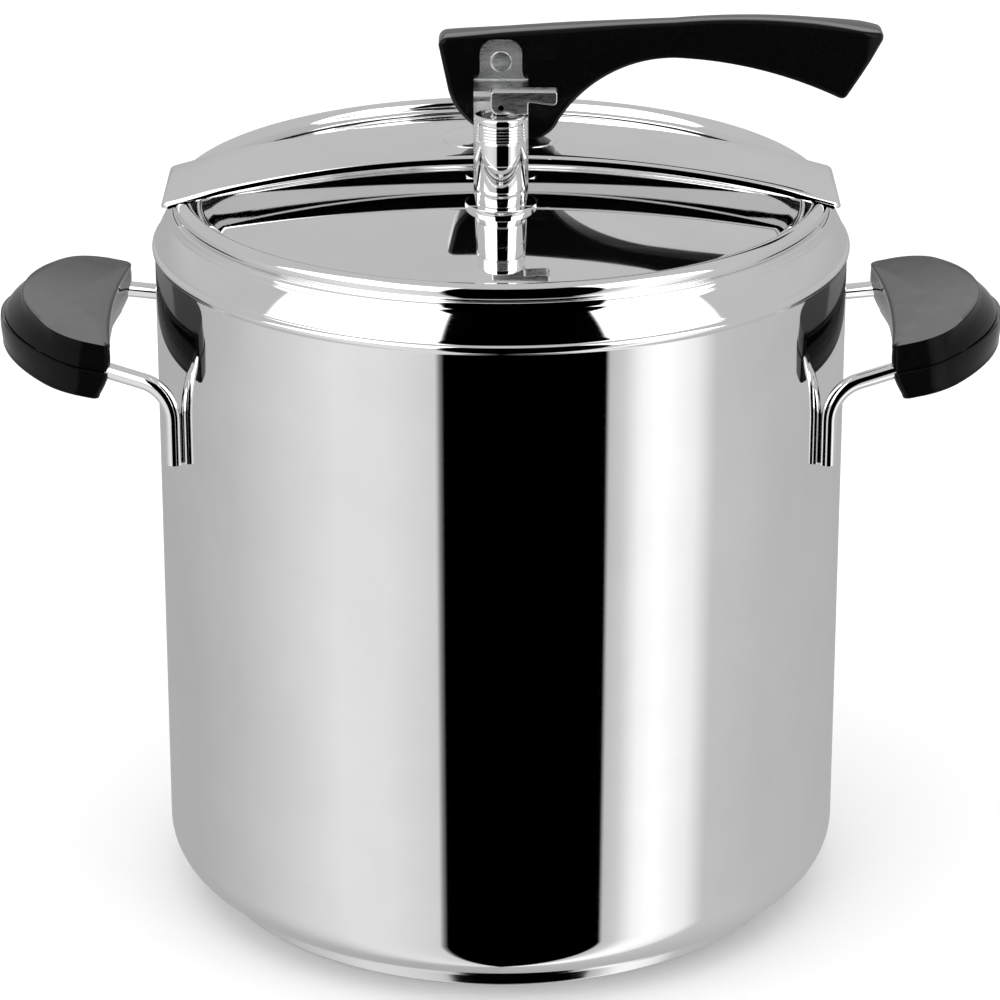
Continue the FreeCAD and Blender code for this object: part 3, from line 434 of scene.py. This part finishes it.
def make_pot():
    low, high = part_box("pot_shell")
    floor = low[2] / MM
    top = high[2] / MM
    sheet = 1.0
    corner = 14.8
    bead = 218.7
    neck_r, neck_z = 106.4, 231.2
    rim_r, rim_s = 102.65, 2.85
    rim_z = top - rim_s
    profile = outline([
        (0, floor),
        (WALL_R - corner, floor, corner, 20),
        (WALL_R, floor + corner),
        (WALL_R, bead - 0.5, -0.5, 3),
        (WALL_R + 0.12, bead, 1.56, 12),
        (WALL_R + 0.1, bead + 2.6, -0.6, 4),
        (WALL_R - 0.3, bead + 3.2, 50, 12),
        (neck_r + 0.3, neck_z - 0.7, 1.2, 5),
        (neck_r, neck_z + 0.1),
        (neck_r - 0.25, neck_z + 1.5, 0.5, 5),
        (neck_r - 0.75, neck_z + 2.0),
        (rim_r + 2.1, neck_z + 2.1),
        (rim_r + 1.7, neck_z + 2.0),
    ])
    profile += arc((rim_r, rim_z), rim_s, -48, 180, 48)
    inner_neck = neck_r - 1.1 * sheet
    profile += outline([
        (rim_r - rim_s, rim_z - 0.6 * rim_s, rim_s, 8),
        (rim_r - 0.4 * rim_s, neck_z + 0.1),
        (inner_neck - 0.4, neck_z + 0.1),
        (inner_neck, neck_z - 0.3, -49, 10),
        (WALL_R - sheet, bead + 2.3),
        (WALL_R - sheet, floor + corner, -(corner - sheet), 16),
        (WALL_R - corner, floor + sheet),
        (0, floor + sheet),
    ])
    work = bmesh.new()
    lathe(work, profile, segments=256)
    finish_mesh(work, "pot_wall", MIRROR, "pot", 40, ("pot_shell",))

    base_r, cap_sheet, cap_edge = 96.9, 0.7, 0.9
    cap_inside = base_r - 1.2
    turned("pot_base_cap", [
        (0, 0),
        (base_r - cap_edge, 0, cap_edge, 5),
        (base_r, cap_edge),
        (base_r, 3.0, 1.2, 4),
        (base_r - 0.5, floor),
        (cap_inside, floor),
        (cap_inside, cap_sheet),
        (0, cap_sheet),
    ], BASE_STEEL, "pot", ("base_cap",), segments=256)


# ---------------------------------------------------------------- side handles

GRIP_X, GRIP_Z, GRIP_TILT = 124.3, 189.1, 11.8


def grip_matrix(side):
    """From the grip's own frame (X outward, Z out of its parting plane), all in metres."""
    tilt = Matrix.Rotation(math.radians(-GRIP_TILT), 4, "Y")
    right = Matrix.Translation((GRIP_X * MM, 0, GRIP_Z * MM)) @ tilt
    return Matrix.Rotation(0 if side > 0 else math.pi, 4, "Z") @ right


def grip_outline(inner, reach, half):
    """A D: hollow inner edge, straight sides and an outer bow of three tangent arcs."""
    shoulder, corner = 7.0, 18.0
    length = reach - shoulder
    rise = half - corner
    bow = (length ** 2 + rise ** 2 - corner ** 2) / (2 * (length - corner))
    share = bow / (bow - corner)
    centre = reach - bow
    join = (centre + (shoulder - centre) * share, rise * share)
    edge = 2.2
    return outline([
        (inner + edge, -half),
        (shoulder, -half, corner, 14),
        (join[0], -join[1], bow, 36),
        (join[0], join[1], corner, 14),
        (shoulder, half),
        (inner + edge, half, edge, 6),
        (inner, half - edge, -340.0, 30),
        (inner, -half + edge, edge, 6),
    ])


def loft(work, layers):
    """Skins a stack of equal-length rings of (x, y, z) in millimetres, and caps both ends."""
    rings = [[work.verts.new(Vector(point) * MM) for point in layer] for layer in layers]
    count = len(rings[0])
    for ring, after in zip(rings, rings[1:]):
        for step in range(count):
            corner = (step + 1) % count
            work.faces.new([ring[step], ring[corner], after[corner], after[step]])
    for ring in (rings[0], rings[-1]):
        work.faces.new(ring)


def toward(ring, other, share, level):
    """A ring part of the way from one ring to another, at its own level."""
    return [(a[0] + (b[0] - a[0]) * share, a[1] + (b[1] - a[1]) * share, level)
            for a, b in zip(ring, other)]


def make_grip_half(side, name, height, parting, face, node):
    """One grip half: sloping sides, a rounded shoulder and a slightly crowned outer face."""
    sign = math.copysign(1, height)
    tall = abs(height)
    shoulder, lip = 1.6, 0.35
    seam_x, seam_inset = 8, 0.012
    slope_share, slope_power = 0.82, 1.6
    shoulder_rise = 0.86
    slope_steps, shoulder_steps, crown_steps = 6, 6, 11
    first = grip_outline(*parting)
    last = grip_outline(*face)
    layers = [
        [(x + (seam_x - x) * seam_inset, y * (1 - seam_inset), 0.0) for x, y in first],
        [(x, y, sign * lip) for x, y in first],
    ]
    for step in range(1, slope_steps + 1):
        share = step / slope_steps
        level = lip + (tall - shoulder - lip) * share
        layers.append(toward(first, last, share ** slope_power * slope_share, sign * level))
    base = layers[-1]
    for step in range(1, shoulder_steps + 1):
        angle = math.pi / 2 * step / shoulder_steps
        level = tall - shoulder + shoulder * math.sin(angle) * shoulder_rise
        layers.append(toward(base, last, 1 - math.cos(angle), sign * level))
    rim = layers[-1]
    rim_level = abs(rim[0][2])
    centre = [((face[0] + face[1]) / 2, 0.0)] * len(rim)
    for step in range(1, crown_steps):
        share = step / crown_steps
        level = rim_level + (tall - rim_level) * (1 - (1 - share) ** 2)
        layers.append(toward(rim, centre, share, sign * level))
    work = bmesh.new()
    loft(work, layers)
    bmesh.ops.transform(work, matrix=grip_matrix(side), verts=work.verts)
    finish_mesh(work, name, BAKELITE, "pot", 34, (node,))


# Each half's two names and height, then (inner edge, reach, half width) where they part and outside.
GRIP_HALVES = (
    ("top", "upper", 8.9, (-0.5, 37.4, 44.2), (1.0, 32.3, 43.4)),
    ("under", "lower", -9.5, (-0.5, 38.6, 45.0), (1.4, 36.2, 44.0)),
)


def make_handles():
    """A bent rod with a two-part black grip at each side of the pot."""
    rod_r = 2.6
    stand = WALL_R + rod_r
    leg_y = 47.5
    leg_x = math.sqrt(stand ** 2 - leg_y ** 2)
    leg_bend, grip_bend = 12.0, 10.0
    in_grip = Vector((24.0, -34.0, 0.0))
    bend_z = GRIP_Z - math.tan(math.radians(GRIP_TILT)) * (GRIP_X - leg_x)
    for side, word in ((1, "right"), (-1, "left")):
        corner = grip_matrix(1) @ (in_grip * MM) / MM
        leg_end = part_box(f"{word}_handle_rod")[0][2] / MM
        near = [(leg_x, -leg_y, leg_end), (leg_x, -leg_y, bend_z), tuple(corner)]
        far = [(x, -y, z) for x, y, z in reversed(near)]
        points = [(side * x, side * y, z) for x, y, z in near + far]
        work = bmesh.new()
        tube(work, rounded_route(points, (leg_bend, grip_bend, grip_bend, leg_bend)), rod_r, 32)
        bevel(work, 0.5, 3, 60)
        finish_mesh(work, f"{word}_bail", CHROME, "pot", 40, (f"{word}_handle_rod",))
        for piece, node, height, parting, face in GRIP_HALVES:
            make_grip_half(side, f"{word}_grip_{piece}", height, parting, face, f"{word}_grip_{node}")


# ---------------------------------------------------------------- bridge

BRIDGE_SHEET = 1.6
BRIDGE_RADIUS = 395.0       # the arch
BRIDGE_BEND = 2.4           # where each end turns down over the rim
BRIDGE_HALF = 21.0
BRIDGE_FOLD = 2.6           # between the top and the side skirts


def bridge_stations(out, tip, top):
    """Places from end to end along the bridge: x, z and the normal's direction in degrees."""
    hook_steps, arch_steps = 12, 80
    hook_x = out - BRIDGE_BEND
    centre_z = top - BRIDGE_RADIUS
    shoulder = centre_z + math.sqrt((BRIDGE_RADIUS - BRIDGE_BEND) ** 2 - hook_x ** 2)
    edge_angle = math.degrees(math.atan2(shoulder - centre_z, hook_x))
    stations = [(out, tip, 0.0)]
    for step, (x, z) in enumerate(arc((hook_x, shoulder), BRIDGE_BEND, 0, edge_angle, hook_steps)):
        stations.append((x, z, edge_angle * step / hook_steps))
    far_end = [(-x, z, 180 - angle) for x, z, angle in reversed(stations)]
    for step in range(1, arch_steps):
        angle = edge_angle + (180 - 2 * edge_angle) * step / arch_steps
        x = BRIDGE_RADIUS * math.cos(math.radians(angle))
        z = centre_z + BRIDGE_RADIUS * math.sin(math.radians(angle))
        stations.append((x, z, angle))
    return stations + far_end


def bridge_section(depth):
    """The bridge cut across: (y, distance below the top), round its folded sides and back inside."""
    section = [(BRIDGE_HALF, depth)]
    for angle in range(0, 91, 15):
        turn = math.radians(angle)
        section.append((BRIDGE_HALF - BRIDGE_FOLD + BRIDGE_FOLD * math.cos(turn),
                        BRIDGE_FOLD - BRIDGE_FOLD * math.sin(turn)))
    section += [(-y, down) for y, down in reversed(section)]
    inner = BRIDGE_HALF - BRIDGE_SHEET
    return section + [(-inner, depth), (-inner, BRIDGE_SHEET), (inner, BRIDGE_SHEET), (inner, depth)]


def trim_bridge_ends(work, out):
    """Draws both ends in, so that from above they are round about the pot's axis."""
    trim_start, trim_length = 88.0, 15.0
    for vertex in work.verts:
        x, y = vertex.co.x / MM, vertex.co.y / MM
        share = min(max((abs(x) - trim_start) / trim_length, 0.0), 1.0)
        share = share * share * (3 - 2 * share)
        vertex.co.x = math.copysign(abs(x) - (out - math.sqrt(out ** 2 - y ** 2)) * share, x) * MM


def make_bridge():
    """The arched bridge with folded skirts, and the raised oval pad under the stirrup."""
    low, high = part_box("bridge")
    out = high[0] / MM
    tip = low[2] / MM
    pad_rise = 0.4
    top = high[2] / MM - pad_rise
    foot_x, foot_z, rise = 101.6, 238.6, 7.6
    formed_reach = 100
    skirt_r = (foot_x ** 2 + rise ** 2) / (2 * rise)
    layers = []
    for x, z, angle in bridge_stations(out, tip, top):
        normal = Vector((math.cos(math.radians(angle)), 0, math.sin(math.radians(angle))))
        depth = BRIDGE_SHEET
        if abs(x) < foot_x:
            skirt_end = foot_z + rise - skirt_r + math.sqrt(skirt_r ** 2 - x ** 2)
            depth = max(z - skirt_end, depth)
        spot = Vector((x, 0, z))
        layers.append([spot - normal * down + Vector((0, y, 0)) for y, down in bridge_section(depth)])
    work = bmesh.new()
    loft(work, layers)
    trim_bridge_ends(work, out)
    for face in work.faces:
        upright = abs(face.normal.y) > 0.9
        if upright and abs(face.calc_center_median().x) < formed_reach * MM:
            face.material_index = 1
    arch = finish_mesh(work, "bridge_arch", MIRROR, "bridge", 35, ("bridge",))
    arch.data.materials.append(FORMED)

    straight, round_r = 7.0, 12.0
    end = straight + round_r
    oval = outline([
        (-straight, -round_r), (straight, -round_r, round_r, 12), (end, 0.0, round_r, 12),
        (straight, round_r), (-straight, round_r, round_r, 12), (-end, 0.0, round_r, 12),
    ])
    work = bmesh.new()
    layers = []
    for share, level in ((1.0, top - 0.7), (0.99, top + 0.05), (0.955, top + 0.3), (0.9, top + pad_rise)):
        layers.append([(x * share, y * share, level) for x, y in oval])
    loft(work, layers)
    finish_mesh(work, "bridge_pad", MIRROR, "bridge", 35)


# ---------------------------------------------------------------- cam lever

def involute(height, lead, degrees):
    """The foot's outline: its distance from the pivot's level shrinks by lead for each radian."""
    angle = math.radians(degrees)
    support = height - lead * angle
    x = lead * math.cos(angle) - support * math.sin(angle)
    z = -lead * math.sin(angle) - support * math.cos(angle)
    return x, z


def lever_half(x):
    """Half thickness along the lever: thick head, waist, thicker tip."""
    waist_x, head_half = 22.0, 6.5
    haunch_x, haunch_half = 113.0, 8.1
    waist_bow = 520.0
    nose_length, nose_half = 8.0, 3.9
    if x <= waist_x:
        return head_half
    if x <= haunch_x:
        run = haunch_x - waist_x
        share = (x - waist_x) / run
        sag = run ** 2 / (8 * waist_bow)
        return head_half + (haunch_half - head_half) * share - 4 * sag * share * (1 - share)
    share = min((x - haunch_x) / nose_length, 1.0)
    return nose_half + (haunch_half - nose_half) * math.sqrt(max(1 - share ** 2, 0.0))


def make_lever():
    """The black cam lever, from its involute foot to its tip, drawn from its pivot."""
    pivot = joints["lever_swing"]["pos_m"][2]
    height, lead, turn = 26.5, 5.85, 77.4
    foot_steps = 30
    points = [involute(height, lead, turn * (1 - step / foot_steps)) for step in range(foot_steps)]
    points += outline([
        (lead, -height),
        (10.0, -height, 10.4, 8),
        (18.4, -height + 6.4),
        (20.6, -height + 9.6, -43.0, 16),
        (55.3, 0.0, -140.0, 22),
        (107.4, -12.6, 2.2, 7),
        (110.0, -11.5),
        (120.9, 5.8, 1.9, 7),
        (119.6, 8.5, 245.0, 26),
        (55.0, 11.3, 1600.0, 26),
        (-17.0, 7.0, 3.0, 8),
        (-19.8, 4.4),
    ])
    thick = 8.5

    def edge(x, normal):
        """Generous along the top, small at the corners and below."""
        head_x, tip_x, fade = -13.0, 114.0, 14.0
        small, extra = 1.7, 1.9
        span = min(max((x - head_x) / fade, 0.0), 1.0) * min(max((tip_x - x) / fade, 0.0), 1.0)
        return small + extra * span * max(normal.y, 0.0)

    work = bmesh.new()
    slab(work, points, thick, edge)
    slice_step = 3.0
    slice_along(work, 0, [number * slice_step for number in range(-6, 40)])
    for vertex in work.verts:
        vertex.co.y *= lever_half(vertex.co.x / MM) / thick
        vertex.co.z += pivot
    finish_mesh(work, "cam_lever", BAKELITE, "lever", 30, ("lever_handle",))


def make_pivot():
    """The riveted pin: a broad shallow head with a turned ring on each ear."""
    pivot = joints["lever_swing"]["pos_m"][2]
    place = Matrix.Translation((0, 0, pivot)) @ Matrix.Rotation(math.radians(90), 4, "X")
    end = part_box("pivot_pin")[1][1] / MM
    pin_r, head_r, head_height = 2.5, 3.4, 0.9
    ear = end - head_height
    half = [(pin_r, ear), (head_r, ear), (head_r, ear + 0.35), (3.15, ear + 0.65), (2.4, ear + 0.8), (0, end)]
    rows = half + [(radius, -height) for radius, height in reversed(half)]
    turned("pivot_rivet", rows, SATIN, "lid", ("pivot_pin",), place=place, segments=64)


# ---------------------------------------------------------------- lid and valves

def make_lid():
    """The domed lid with its turned-down wall and flange, and a raised seat for each valve."""
    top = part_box("lid_disc")[1][2] / MM
    radius, sheet = 467.0, 1.2
    centre = top - radius
    inside = radius - sheet
    end_r, bend = 96.0, 3.0
    wall_r, wall_top = 98.4, 231.3
    flange_r, flange_top, flange_low = 99.3, 227.6, 226.4
    end_angle = math.degrees(math.acos(end_r / radius))
    profile = arc((0, centre), radius, 90, end_angle, 40)
    profile[0] = (0.0, top)
    inner_r = end_r - 0.4
    profile += outline([
        (end_r + 0.02, centre + math.sqrt(radius ** 2 - end_r ** 2), -bend, 10),
        (wall_r, wall_top),
        (wall_r, flange_top),
        (flange_r, flange_top),
        (flange_r, flange_low),
        (wall_r - sheet, flange_low),
        (wall_r - sheet, wall_top, bend - sheet, 8),
        (inner_r, centre + math.sqrt(inside ** 2 - inner_r ** 2)),
    ])
    inner_angle = math.degrees(math.acos((end_r - 0.5) / inside))
    under = arc((0, centre), inside, inner_angle, 90, 30)
    under[-1] = (0.0, top - sheet)
    work = bmesh.new()
    lathe(work, profile + under, segments=256)
    seat_low, seat_edge = 240.4, 0.35
    for y, seat_r, seat_top in ((VALVE_Y, 11.3, 243.6), (SAFETY_Y, 8.6, 243.4)):
        rows = outline([(0, seat_low), (seat_r, seat_low), (seat_r, seat_top - seat_edge, seat_edge, 4),
                        (seat_r - seat_edge, seat_top), (0, seat_top)])
        lathe(work, rows, (0.0, y), 96)
    finish_mesh(work, "lid_dome", DOME, "lid", 40, ("lid_disc",))


def make_valve():
    """The steam valve's barrel, foot ring and grooved cap, and the low safety valve's housing."""
    turned("valve_barrel", [
        (1.4, 231.0), (5.0, 231.0), (5.0, 243.6), (6.0, 243.6), (6.0, 248.0),
        (7.35, 248.0, 0.55, 5), (7.9, 248.6), (7.9, 256.8),
        (7.72, 257.0), (7.72, 257.2), (7.9, 257.4), (7.9, 263.4, 0.5, 4), (7.5, 263.95),
        (6.9, 264.0), (6.9, 268.0), (4.8, 268.0), (4.8, 246.0), (1.4, 246.0),
    ], CHROME, "lid", ("valve_body",), (0.0, VALVE_Y), 96)
    turned("valve_foot_ring", [
        (6.05, 243.6), (7.4, 243.6), (7.5, 243.8), (7.5, 247.6, 0.4, 4), (7.1, 248.0), (6.05, 248.0),
    ], CHROME, "lid", ("valve_base_ring",), (0.0, VALVE_Y), 96)
    cap_r, first_groove, groove_width = 8.4, 264.7, 0.5
    rows = [(6.95, 264.05), (7.9, 264.05, 0.5, 4), (cap_r, 264.5)]
    for groove in range(5):
        low = first_groove + groove
        rows += [(cap_r, low, -groove_width, 4), (cap_r, low + groove_width)]
    rows += [(cap_r, 270.9, 1.1, 7), (7.3, 272.0), (5.6, 272.0, -0.3, 3), (5.2, 271.6), (2.4, 271.6),
             (2.4, 268.0), (6.95, 268.0)]
    turned("valve_cap", rows, CHROME, "lid", ("valve_collar",), (0.0, VALVE_Y), 96)
    make_toggle()
    turned("safety_housing", [
        (1.4, 233.0), (4.0, 233.0), (4.0, 243.4), (7.5, 243.4), (7.5, 245.4, 0.5, 4), (7.0, 246.0),
        (5.0, 246.0), (5.0, 247.9, 0.5, 4), (4.5, 248.5), (1.3, 248.5), (1.3, 247.3), (2.9, 247.3),
        (2.9, 235.0), (1.4, 235.0),
    ], CHROME, "lid", ("safety_body",), (0.0, SAFETY_Y), 72)


def make_toggle():
    """The valve's small lever: a flat bar with a rounded heel, slotted over the stem's tongue."""
    pivot = Vector(joints["vent_toggle_swing"]["pos_m"]) / MM
    height, lead = 2.3, -2 / math.pi
    points = [involute(height, lead, degrees) for degrees in range(90, 0, -9)]
    points += outline([
        (lead, -height),
        (7.6, -height, 0.8, 5),
        (8.4, -height + 0.8),
        (8.4, 1.1, -0.7, 4),
        (9.0, 1.65),
        (16.0, 0.7, 1.4, 6),
        (17.4, 2.1),
        (17.4, 4.4, 0.6, 4),
        (16.8, 5.0),
        (-2.4, 5.0, 0.8, 5),
        (-3.2, 4.2),
    ])
    half, rounding = 3.0, 0.42
    work = bmesh.new()
    slab(work, points, half, lambda x, normal: rounding, 4)
    bmesh.ops.translate(work, vec=pivot * MM, verts=work.verts)
    finish_mesh(work, "toggle_lever", SATIN, "vent_toggle", 30, ("vent_toggle",))


def make_stirrup():
    """One folded strip: a floor under the bridge, two sides, two shelves and two flared ears."""
    wide, ear, top = 8.6, 6.7, 287.7
    corner, flare, shelf = 4.5, 3.2, 275.0
    sheet = 1.6
    ear_y, ear_outside = 7.6, 9.5
    side_y, shelf_z, floor_z = 23.2, 274.2, 245.0

    def half_width(spot):
        if abs(spot.y) > ear_outside or spot.z < shelf:
            return wide
        if spot.z > top - corner:
            rise = min(spot.z - (top - corner), corner)
            return ear - corner + math.sqrt(corner ** 2 - rise ** 2)
        share = min(max((shelf + flare - spot.z) / flare, 0.0), 1.0)
        return ear + (wide - ear) * (1 - math.sqrt(1 - share ** 2))

    corners = [(ear_y, top), (ear_y, shelf_z), (side_y, shelf_z), (side_y, floor_z)]
    points = [(0, -y, z) for y, z in corners] + [(0, y, z) for y, z in reversed(corners)]
    ear_fold, fold = 1.5, 2.2
    route = rounded_route(points, (ear_fold, fold, fold, fold, fold, ear_fold), 8)
    rises = [corner * math.sin(math.radians(angle)) for angle in range(81, -1, -9)]
    heights = [top - corner + rise for rise in rises]
    heights += [shelf + flare - flare * step / 5 for step in range(5)]
    fold_end = shelf_z + ear_fold + 0.1
    ends = [Vector((0, -ear_y, height)) for height in heights if height > fold_end]
    path = [route[0]] + ends + route[1:-1]
    path += [Vector((0, -spot.y, spot.z)) for spot in reversed(ends)] + [route[-1]]
    work = bmesh.new()
    strip(work, path, sheet, half_width)
    bevel(work, 0.28, 3, 60)
    finish_mesh(work, "stirrup_strip", SATIN, "lid", 35, ("stirrup",))


# ---------------------------------------------------------------- studio

def make_world():
    """A white studio by direction: two soft boxes in front with a black gap between them."""
    world = bpy.data.worlds.new("studio")
    bpy.context.scene.world = world
    world.use_nodes = True
    tree = world.node_tree
    tree.nodes.clear()

    def node(kind, **values):
        new = tree.nodes.new(kind)
        for key, value in values.items():
            setattr(new, key, value)
        return new

    def math_node(operation, first, second=None, third=None):
        new = node("ShaderNodeMath", operation=operation)
        for number, value in enumerate((first, second, third)):
            if value is None:
                continue
            if isinstance(value, (int, float)):
                new.inputs[number].default_value = value
            else:
                tree.links.new(value, new.inputs[number])
        return new.outputs[0]

    def band(value, low, high, soft):
        """1 between low and high, with soft edges."""
        rise = node("ShaderNodeMapRange", interpolation_type="SMOOTHSTEP")
        rise.inputs["From Min"].default_value = low - soft
        rise.inputs["From Max"].default_value = low + soft
        fall = node("ShaderNodeMapRange", interpolation_type="SMOOTHSTEP")
        fall.inputs["From Min"].default_value = high - soft
        fall.inputs["From Max"].default_value = high + soft
        for remap in (rise, fall):
            tree.links.new(value, remap.inputs["Value"])
        return math_node("MULTIPLY", rise.outputs[0], math_node("SUBTRACT", 1.0, fall.outputs[0]))

    coordinates = node("ShaderNodeTexCoord")
    split = node("ShaderNodeSeparateXYZ")
    tree.links.new(coordinates.outputs["Generated"], split.inputs[0])
    x, y, z = split.outputs
    azimuth = math_node("ARCTAN2", x, math_node("MULTIPLY", y, -1.0))
    turn = math_node("ADD", math_node("DIVIDE", azimuth, 2 * math.pi), 0.5)
    elevation = math_node("MULTIPLY", math_node("ARCSINE", z), 180 / math.pi)
    degrees = math_node("MULTIPLY", azimuth, 180 / math.pi)

    def ramp(stops):
        """Brightness round the horizon, from stops of (azimuth in degrees, level)."""
        new = node("ShaderNodeValToRGB")
        elements = new.color_ramp.elements
        while len(elements) > 1:
            elements.remove(elements[-1])
        for number, (angle, level) in enumerate(stops):
            place = (angle + 180) / 360
            element = elements[0] if number == 0 else elements.new(place)
            element.position = place
            element.color = (level, level, level, 1.0)
        tree.links.new(turn, new.inputs[0])
        return new.outputs[0]

    low_ring = ramp([
        (-180, 0.42), (-128, 0.45), (-100, 0.52), (-82, 0.62), (-55, 0.79), (-38, 0.77),
        (-21, 0.66), (-19, 0.0), (34, 0.0), (35, 0.53), (40, 0.64), (46, 0.98), (53, 1.12),
        (66, 0.90), (74, 0.56), (100, 0.51), (180, 0.44),
    ])
    room_level, box_level = 0.53, 1.6
    gap_start, gap_end, gap_top = -20, 35, 58
    side_soft, gap_soft, end_soft = 1.5, 1.2, 3.0
    softbox_left = math_node("MULTIPLY", band(degrees, -82, gap_start, side_soft),
                             band(elevation, 9, 62, end_soft))
    softbox_right = math_node("MULTIPLY", band(degrees, gap_end, 76, side_soft),
                              band(elevation, 6, gap_top, end_soft))
    gap = math_node("MULTIPLY", band(degrees, gap_start, gap_end, gap_soft),
                    band(elevation, -95, gap_top, end_soft))
    boxes = math_node("ADD", softbox_left, softbox_right)
    high_level = math_node("ADD", room_level, math_node("MULTIPLY", boxes, box_level))
    high_level = math_node("MULTIPLY", high_level, math_node("SUBTRACT", 1.0, gap))
    upper = node("ShaderNodeMapRange", interpolation_type="SMOOTHSTEP")
    upper.inputs["From Min"].default_value = -4.0
    upper.inputs["From Max"].default_value = 10.0
    tree.links.new(elevation, upper.inputs["Value"])
    mixed = math_node("ADD", math_node("MULTIPLY", high_level, upper.outputs[0]),
                      math_node("MULTIPLY", low_ring, math_node("SUBTRACT", 1.0, upper.outputs[0])))
    studio = node("ShaderNodeBackground")
    tree.links.new(mixed, studio.inputs["Color"])
    fill = node("ShaderNodeBackground")
    fill.inputs["Color"].default_value = (1.3, 1.3, 1.3, 1.0)
    backdrop = node("ShaderNodeBackground")
    backdrop.inputs["Color"].default_value = (1.0, 1.0, 1.0, 1.0)
    path = node("ShaderNodeLightPath")
    soft = node("ShaderNodeMixShader")
    tree.links.new(path.outputs["Is Diffuse Ray"], soft.inputs[0])
    tree.links.new(studio.outputs[0], soft.inputs[1])
    tree.links.new(fill.outputs[0], soft.inputs[2])
    choose = node("ShaderNodeMixShader")
    tree.links.new(path.outputs["Is Camera Ray"], choose.inputs[0])
    tree.links.new(soft.outputs[0], choose.inputs[1])
    tree.links.new(backdrop.outputs[0], choose.inputs[2])
    output = node("ShaderNodeOutputWorld")
    tree.links.new(choose.outputs[0], output.inputs["Surface"])


def make_floor():
    """A wide pale floor that the steel doesn't mirror."""
    nodes = Nodes("studio_floor")
    nodes.tint(nodes.span(nodes.noise(3.0), 0.0, 1.0), (0.93, 0.93, 0.93), (0.95, 0.95, 0.95))
    nodes.set(Roughness=0.6)
    bpy.ops.mesh.primitive_circle_add(vertices=96, radius=4.0, fill_type="NGON", location=(0, 0, -0.0002))
    floor = bpy.context.object
    floor.name = "studio_floor"
    floor.data.materials.append(nodes.material)
    floor.visible_glossy = False


def make_card():
    """A soft white card behind the object, lighting only its black mouldings.

    It gives their tops a shine that the steel, which mirrors the same part of the room, doesn't get.
    """
    mouldings = bpy.data.collections.new("black_mouldings")
    for piece in list(bpy.context.scene.objects):
        if piece.type == "MESH" and BAKELITE.name in piece.data.materials:
            mouldings.objects.link(piece)
    data = bpy.data.lights.new("card", "AREA")
    data.shape = "RECTANGLE"
    data.size = 3.0
    data.size_y = 1.44
    data.energy = 11.0
    card = bpy.data.objects.new("card", data)
    card.location = (0.0, 2.0, 1.58)
    card.rotation_euler = (math.radians(-90), 0.0, 0.0)
    card.visible_camera = False
    card.light_linking.receiver_collection = mouldings
    bpy.context.scene.collection.objects.link(card)


def make_camera():
    """A long lens in front of the valve's side, looking down at about 21 degrees."""
    data = bpy.data.cameras.new("camera")
    data.sensor_width = 36.0
    data.lens = 153.35
    data.shift_x = -0.001
    camera = bpy.data.objects.new("camera", data)
    pitch = math.radians(21.10)
    distance = 1.4077
    aim = 0.1293
    camera.location = (0.0, -distance * math.cos(pitch), aim + distance * math.sin(pitch))
    camera.rotation_euler = (math.pi / 2 - pitch, 0.0, 0.0)
    bpy.context.scene.collection.objects.link(camera)
    bpy.context.scene.camera = camera


make_camera()
make_world()
make_floor()
dress_cad_nodes()
make_pot()
make_handles()
make_bridge()
make_lever()
make_pivot()
make_stirrup()
make_lid()
make_valve()
make_card()

scene = bpy.context.scene
scene.view_settings.view_transform = "Standard"
scene.view_settings.look = "None"
